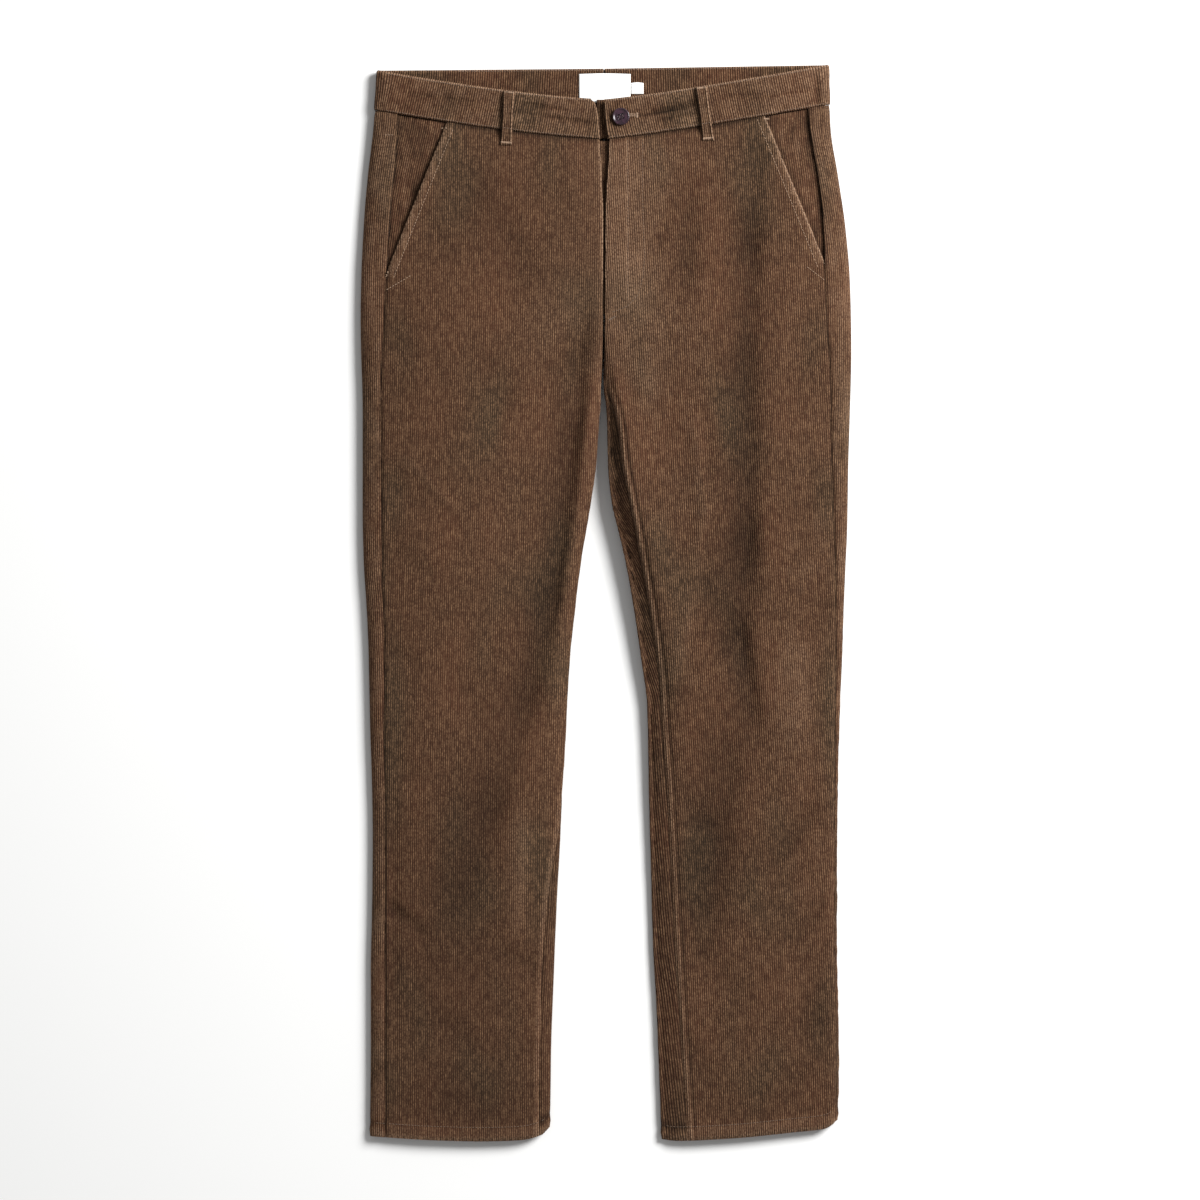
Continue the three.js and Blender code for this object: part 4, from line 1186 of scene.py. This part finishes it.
def wovenSatin(name, look):
    # Woven polyester satin: near white, a soft shine along the threads, with fine ribs across it.
    material, tree = newMaterial(name)
    uv = addNode(tree, "ShaderNodeUVMap", {"uv_map": "cloth"}).outputs["UV"]
    perMetre = 1000 / look["threads"]
    fine = addNode(tree, "ShaderNodeMapping", Vector=uv, Scale=(perMetre, 0.4 * perMetre, 1.0))
    weave = addNode(tree, "ShaderNodeTexNoise", Vector=fine.outputs["Vector"], Scale=1.0, Detail=1.0)
    bump = addNode(tree, "ShaderNodeBump", Height=weave.outputs["Fac"], Strength=0.2, Distance=0.0001)
    shader = addNode(tree, "ShaderNodeBsdfPrincipled", Base_Color=toLinear(look["colour"]),
                     Roughness=look["roughness"], IOR=1.5, Normal=bump.outputs["Normal"])
    shader.inputs["Anisotropic"].default_value = 0.4
    addNode(tree, "ShaderNodeOutputMaterial", Surface=shader.outputs["BSDF"])
    return material


buttonLook = {"colour": "#24121c", "swirl": "#3c2230", "roughness": 0.26}


def polyesterResin(name, look):
    # Moulded polyester resin, polished: almost black with a plum tint, faint cloudy swirls, sharp shine.
    material, tree = newMaterial(name)
    where = addNode(tree, "ShaderNodeTexCoord").outputs["Object"]
    cloud = addNode(tree, "ShaderNodeTexNoise", Vector=where, Scale=260.0, Detail=3.0, Distortion=0.8)
    share = addNode(tree, "ShaderNodeMapRange", Value=cloud.outputs["Fac"], From_Min=0.45, From_Max=0.7)
    body = addNode(tree, "ShaderNodeMix", {"data_type": "RGBA"}, i0=share.outputs["Result"],
                   i6=toLinear(look["colour"]), i7=toLinear(look["swirl"])).outputs[2]
    shader = addNode(tree, "ShaderNodeBsdfPrincipled", Base_Color=body, Roughness=look["roughness"],
                     IOR=1.55)
    shader.inputs["Coat Weight"].default_value = 0.3
    addNode(tree, "ShaderNodeOutputMaterial", Surface=shader.outputs["BSDF"])
    return material


threadLook = {"colour": "#b3957a", "dark": "#8a6e57", "roughness": 0.7}
toneThreadLook = {"colour": "#7d6350", "dark": "#54412f", "roughness": 0.75}
darkThreadLook = {"colour": "#4a2f33", "dark": "#2e1c22", "roughness": 0.7}


def polyesterThread(name, look):
    # Spun polyester sewing thread, dyed near the cloth's own browns: slightly mottled, with a faint shine.
    material, tree = newMaterial(name)
    where = addNode(tree, "ShaderNodeTexCoord").outputs["Object"]
    mottle = addNode(tree, "ShaderNodeTexNoise", Vector=where, Scale=400.0, Detail=2.0)
    body = addNode(tree, "ShaderNodeMix", {"data_type": "RGBA"}, i0=mottle.outputs["Fac"],
                   i6=toLinear(look["dark"]), i7=toLinear(look["colour"])).outputs[2]
    shader = addNode(tree, "ShaderNodeBsdfPrincipled", Base_Color=body, Roughness=look["roughness"], IOR=1.5)
    shader.inputs["Sheen Weight"].default_value = 0.2
    addNode(tree, "ShaderNodeOutputMaterial", Surface=shader.outputs["BSDF"])
    return material


satin = wovenSatin("woven_satin_label_tape", wovenLabelLook)
resin = polyesterResin("moulded_polyester_resin_polished", buttonLook)
thread = polyesterThread("spun_polyester_thread", threadLook)
toneThread = polyesterThread("spun_polyester_thread_brown", toneThreadLook)
darkThread = polyesterThread("spun_polyester_thread_dark", darkThreadLook)

frontLoops = {"right": (96.5, 3.0), "left": (95.0, 7.3)}  # across at the top, and how far it leans outwards
backLoops = {"right": -112, "left": 112, "middle": -2}
pieces = {}
for side, half, seed in (("right", right, 3), ("left", left, 5)):
    pieces[f"front_{side}"] = frontCloth(half, f"front_{side}_cloth", seed)
    pieces[f"back_{side}"] = backCloth(half, f"back_{side}_cloth", seed + 100)
    pieces[f"pocket_facing_{side}"] = facingCloth(half, f"pocket_facing_{side}_cloth", seed + 200)
    pieces[f"waistband_{side}"] = waistbandCloth(half, f"waistband_{side}_cloth", seed + 300)
    loopName = f"belt_loop_front_{side}"
    pieces[loopName] = frontLoop(half, *frontLoops[side], f"{loopName}_cloth", seed + 400)
pieces["waistband_underlap"] = underlapCloth()
pieces["fly_shield"] = flyShieldCloth()
for seed, (place, middle) in enumerate(backLoops.items(), 61):
    pieces[f"belt_loop_back_{place}"] = backLoop(middle, f"belt_loop_back_{place}_cloth", seed)
for node, piece in pieces.items():
    finishPiece(piece, node)
waistLabel = wovenLabel("waist_label_satin", labels["waist"], satin)
sizeLabel = wovenLabel("size_label_satin", labels["size"], satin)
finishPiece(waistLabel, "waist_label")
finishPiece(sizeLabel, "size_label")
flyButton = finishPiece(roundButton("fly_button_resin", resin), "button")
print("stage: pieces made", sum(len(p.data.polygons) for p in pieces.values()), "faces")


for side, half in (("right", right), ("left", left)):
    d = sectionDowns
    facingStart = arcOnTop(half, half["outer"](d) - half["outseam"](d) + pocketFacing["underBack"])
    mouth = np.minimum(pocketAcross(half, d), half["outer"](d))
    facingEnd = arcOnTop(half, mouth - pocketFacing["underFront"])
    bandEdge = np.maximum(frontOfBand[half["side"]](d), half["inner"](d) + 0.2)
    bandEnd = half["perimeter"] + arcOnTop(half, bandEdge)
for piece, name, restsOn in ((waistLabel, "waist", ["waistband_right", "waistband_left"]),
                             (sizeLabel, "size", ["waistband_left"])):
    width, length = np.ptp(labels[name]["x"]), np.ptp(labels[name]["down"])


# Stitches: short threads that lie on the cloth with both ends sunk in it.
sewing = {"length": 2.3, "gap": 0.9, "radius": 0.3, "proud": 0.16, "sides": 6, "bandIn": 1.7,
          "steepest": 1.6}  # a stitch over a bigger step than this is left out


def surfaceTree(sewn):
    points, polygons, start = [], [], 0
    for piece in sewn:
        mesh = piece.data
        coords = np.empty(len(mesh.vertices) * 3)
        mesh.vertices.foreach_get("co", coords)
        points += (coords.reshape(-1, 3) / mm).tolist()
        polygons += [[start + i for i in polygon.vertices] for polygon in mesh.polygons]
        start += len(mesh.vertices)
    return BVHTree.FromPolygons(points, polygons)


def stitchesAlong(path):
    # the two ends of every stitch along a line of places
    line = np.asarray(path, float)
    runs = np.r_[0, np.cumsum(np.hypot(*np.diff(line, axis=0).T))]
    every = sewing["length"] + sewing["gap"]
    starts = np.arange(0.4, runs[-1] - sewing["length"], every)
    at = lambda t: np.stack([np.interp(t, runs, line[:, 0]), np.interp(t, runs, line[:, 1])], -1)
    return np.hstack([at(starts), at(starts + sewing["length"])]).tolist()


def bartack(x, y, turn, length, width):
    # close threads side by side across a short bar, which holds a place that is pulled on
    count = int(length / 0.52)
    c, s = math.cos(turn), math.sin(turn)
    stitches = []
    for k in range(count):
        t = (k / (count - 1) - 0.5) * length
        reach = width / 2 * (0.9 + 0.2 * (k % 2))
        midX, midY = x + c * t, y + s * t
        stitches.append([midX - s * reach, midY + c * reach, midX + s * reach, midY - c * reach])
    return stitches


def tubeFaces(start, rings, sides):
    # a closed tube over rings of vertices that follow each other
    faces = []
    last = start + (rings - 1) * sides
    for a in range(start, last, sides):
        b = a + sides
        faces += [(a + k, a + (k + 1) % sides, b + (k + 1) % sides, b + k) for k in range(sides)]
    return faces + [tuple(range(start + sides - 1, start - 1, -1)), tuple(range(last, last + sides))]


def sew(name, stitches, tree, under=False, material=thread):
    points, faces = [], []
    turns = np.linspace(0, 2 * math.pi, sewing["sides"], endpoint=False)
    rough = np.random.default_rng(len(stitches))
    for x0, y0, x1, y1 in stitches:
        spots = []
        for share in (0, 0.12, 0.5, 0.88, 1):
            x, y = mix(x0, x1, share), mix(y0, y1, share)
            hit = tree.ray_cast(Vector((x, y, -30 if under else 60)), Vector((0, 0, 1 if under else -1)))[0]
            if hit is not None:
                spots.append([x, y, hit[2]])
        if len(spots) < 5:
            continue
        spots = np.array(spots)
        heights = -spots[:, 2] if under else spots[:, 2]
        if heights.max() - heights.min() > sewing["steepest"]:
            continue
        raised = heights.max() + sewing["proud"] * rough.uniform(0.3, 1.4)
        spots[:, 2] = [heights[0] - 0.1, raised - 0.06, raised, raised - 0.06, heights[-1] - 0.1]
        if under:
            spots[:, 2] = np.maximum(-spots[:, 2], sewing["radius"] + 0.02)
        run = np.array([x1 - x0, y1 - y0]) / math.hypot(x1 - x0, y1 - y0)
        aside = np.array([-run[1], run[0], 0])
        start = len(points)
        for spot, radius in zip(spots, (0.5, 0.9, 1.0, 0.9, 0.5)):
            for turn in turns:
                around = aside * math.cos(turn) + np.array([0, 0, math.sin(turn)])
                points.append(spot + around * radius * sewing["radius"])
        faces += tubeFaces(start, len(spots), sewing["sides"])
    return finishPiece(meshPiece(name, np.array(points), faces, material=material), None)


def bandLine(half, inside, fromAcross, toAcross, onTop=True):
    # a line that runs along the waistband, a distance down from its top
    across = np.arange(fromAcross, toAcross, 4.0)
    down = waistSeam(half, across, 50.0, onTop) - waistband["height"] + inside
    return np.stack([half["side"] * across, garmentLength / 2 - down], -1)


def hemLine(half, fromAcross, toAcross):
    across = np.arange(fromAcross, toAcross, 3.0)
    down = half["hemAt"](across) - hemLineUp
    return np.stack([half["side"] * across, garmentLength / 2 - down], -1)


def lineBeside(path, offset):
    (x0, y0), (x1, y1) = path
    length = math.hypot(x1 - x0, y1 - y0)
    dx, dy = -(y1 - y0) / length * offset, (x1 - x0) / length * offset
    return [(x0 + dx, y0 + dy), (x1 + dx, y1 + dy)]


mouthRight = [(-160.5, 475.5), (-220.5, 326)]
mouthLeft = [(158.5, 486), (219.5, 337)]
flyStitch = [(36.5, 463), (36.5, 400), (37.5, 368), (38.5, 345), (36.5, 324), (32, 307), (22, 296), (5, 289)]
flyEdgeStitch = [(21.5, 462), (22, 380), (21.5, 300)]
topSewn = [pieces[name] for name in pieces if not name.startswith(("belt_loop_back", "fly"))]
topSide = surfaceTree(topSewn)
bandTop = sewing["bandIn"]
bandFoot = waistband["height"] - sewing["bandIn"]
bandStitches = []
for half, gapEdge in ((right, 14), (left, 3)):
    bandStitches += stitchesAlong(bandLine(half, bandTop, gapEdge, 226))
    bandStitches += stitchesAlong(bandLine(half, bandFoot, gapEdge, 226))
    bandStitches += stitchesAlong(bandLine(half, bandTop, 4, 150, onTop=False))
sew("waistband_stitches_front", bandStitches, topSide, material=toneThread)
pocketStitches = stitchesAlong(lineBeside(mouthRight, 8.5)) + stitchesAlong(lineBeside(mouthLeft, -8.5))
pocketStitches += stitchesAlong(lineBeside(mouthLeft, -1.2)) + stitchesAlong([(-219.5, 312), (-193, 327.5)])
pocketStitches += stitchesAlong([(218, 322), (198, 337)]) + stitchesAlong([(-221.5, 467), (-210, 467)])
pocketStitches += bartack(-218.5, 328, 1.18, 5, 1.7) + bartack(217.5, 340, -1.18, 5, 1.7)
pocketStitches += bartack(-161.5, 473.5, 0.0, 5, 1.7) + bartack(160.0, 483.0, 0.0, 5, 1.7)
sew("pocket_stitches", pocketStitches, topSide)
flyStitches = stitchesAlong(flyStitch) + stitchesAlong(flyEdgeStitch) + bartack(6, 283.5, 0.5, 7, 1.8)
sew("fly_stitches", flyStitches, topSide, material=toneThread)
loopStitches = []
for side, half in (("right", right), ("left", left)):
    across, lean = frontLoops[side]
    seam = float(waistSeam(half, across, 30.0, True)) - waistband["height"] + 0.6
    for share, width in ((0.03, 9.0), (0.955, 10.0)):
        x = half["side"] * (across + lean * share)
        y = garmentLength / 2 - seam - beltLoop["length"] * share
        loopStitches += bartack(x, y, half["side"] * 0.08, width, 1.9)
sew("belt_loop_bartacks", loopStitches, topSide)
hemStitches = stitchesAlong(hemLine(right, 62, 231)) + stitchesAlong(hemLine(left, 60, 228))
sew("hem_stitches_front", hemStitches, topSide, material=toneThread)
buttonhole = []
for y in (-0.85, 0.85):
    for x in np.arange(7.5, 29.6, 0.62):
        buttonhole.append([x, 486.6 + y * 0.35, x + 0.1, 486.6 + y * 1.7])
buttonhole += bartack(31.0, 486.4, math.pi / 2, 4.4, 2.2)
sew("buttonhole_stitches", buttonhole, topSide)

underSewn = [pieces[name] for name in pieces if name.startswith(("back", "waistband", "belt_loop_back"))]
underneath = surfaceTree(underSewn)
underStitches = []
for half in (right, left):
    underStitches += stitchesAlong(bandLine(half, bandTop, 3, 222, onTop=False))
    underStitches += stitchesAlong(bandLine(half, bandFoot, 3, 222, onTop=False))
    underStitches += stitchesAlong(hemLine(half, 62, 228))
for x in sorted(backLoops.values()):
    underStitches += bartack(x, 530.5, 0, 9, 1.9) + bartack(x, 483.5, 0, 9, 1.9)
sew("back_stitches", underStitches, underneath, under=True, material=toneThread)


def buttonThread(name, material):
    # strands through the button's holes, on its dished face
    points, faces = [], []
    span = button["holeSpacing"] / 2
    for x in (-span, span):
        for strand in (-0.42, 0.0, 0.42):
            spots = [(-1.0, 1.1), (-0.86, 2.35), (-0.5, 2.66), (0, 2.74), (0.5, 2.66), (0.86, 2.35),
                     (1.0, 1.1)]
            start = len(points)
            for y, z in spots:
                for turn in np.linspace(0, 2 * math.pi, 8, endpoint=False):
                    points.append((x + strand * (1 - 0.4 * abs(y)) + 0.26 * math.cos(turn), y * span,
                                   z - 0.12 * abs(strand) + 0.26 * math.sin(turn)))
            faces += tubeFaces(start, len(spots), 8)
    piece = meshPiece(name, np.array(points), faces, material=material)
    piece.rotation_euler = flyButton.rotation_euler
    piece.location = flyButton.location
    return finishPiece(piece, None)


buttonThread("button_thread", darkThread)
print("stage: sewn")

# The plain pale floor, soft light from the right, and the camera straight above.
stageLook = {"floor": "#f6f6f5", "cameraHeight": 6.0, "viewWidth": 1.2, "fill": 0.31}
floorMesh = bpy.data.meshes.new("floor")
floorMesh.from_pydata([(-4, -4, 0), (4, -4, 0), (4, 4, 0), (-4, 4, 0)], [], [(0, 1, 2, 3)])
floor = bpy.data.objects.new("floor", floorMesh)
bpy.context.collection.objects.link(floor)
paper, paperTree = newMaterial("white_paper_backdrop")
paperShader = addNode(paperTree, "ShaderNodeBsdfPrincipled", Base_Color=toLinear(stageLook["floor"]),
                      Roughness=0.9)
addNode(paperTree, "ShaderNodeOutputMaterial", Surface=paperShader.outputs["BSDF"])
floorMesh.materials.append(paper)

scene = bpy.context.scene
world = bpy.data.worlds.new("studio")
world.use_nodes = True
background = world.node_tree.nodes["Background"]
background.inputs["Color"].default_value = (1, 1, 1, 1)
background.inputs["Strength"].default_value = stageLook["fill"]
scene.world = world
scene.view_settings.view_transform = "Standard"

keyLight = {"place": (2.55, 1.66, 2.34), "size": 1.9, "power": 258.0}
lamp = bpy.data.lights.new("softbox", "AREA")
lamp.shape = "DISK"
lamp.size = keyLight["size"]
lamp.energy = keyLight["power"]
softbox = bpy.data.objects.new("softbox", lamp)
softbox.location = keyLight["place"]
softbox.rotation_euler = Vector(keyLight["place"]).to_track_quat("Z", "Y").to_euler()
bpy.context.collection.objects.link(softbox)

cameraData = bpy.data.cameras.new("camera")
cameraData.sensor_width = 36
cameraData.lens = 36 * stageLook["cameraHeight"] / stageLook["viewWidth"]
cameraData.clip_end = 50
camera = bpy.data.objects.new("camera", cameraData)
camera.location = (-0.006, 0.003, stageLook["cameraHeight"])
bpy.context.collection.objects.link(camera)
scene.camera = camera
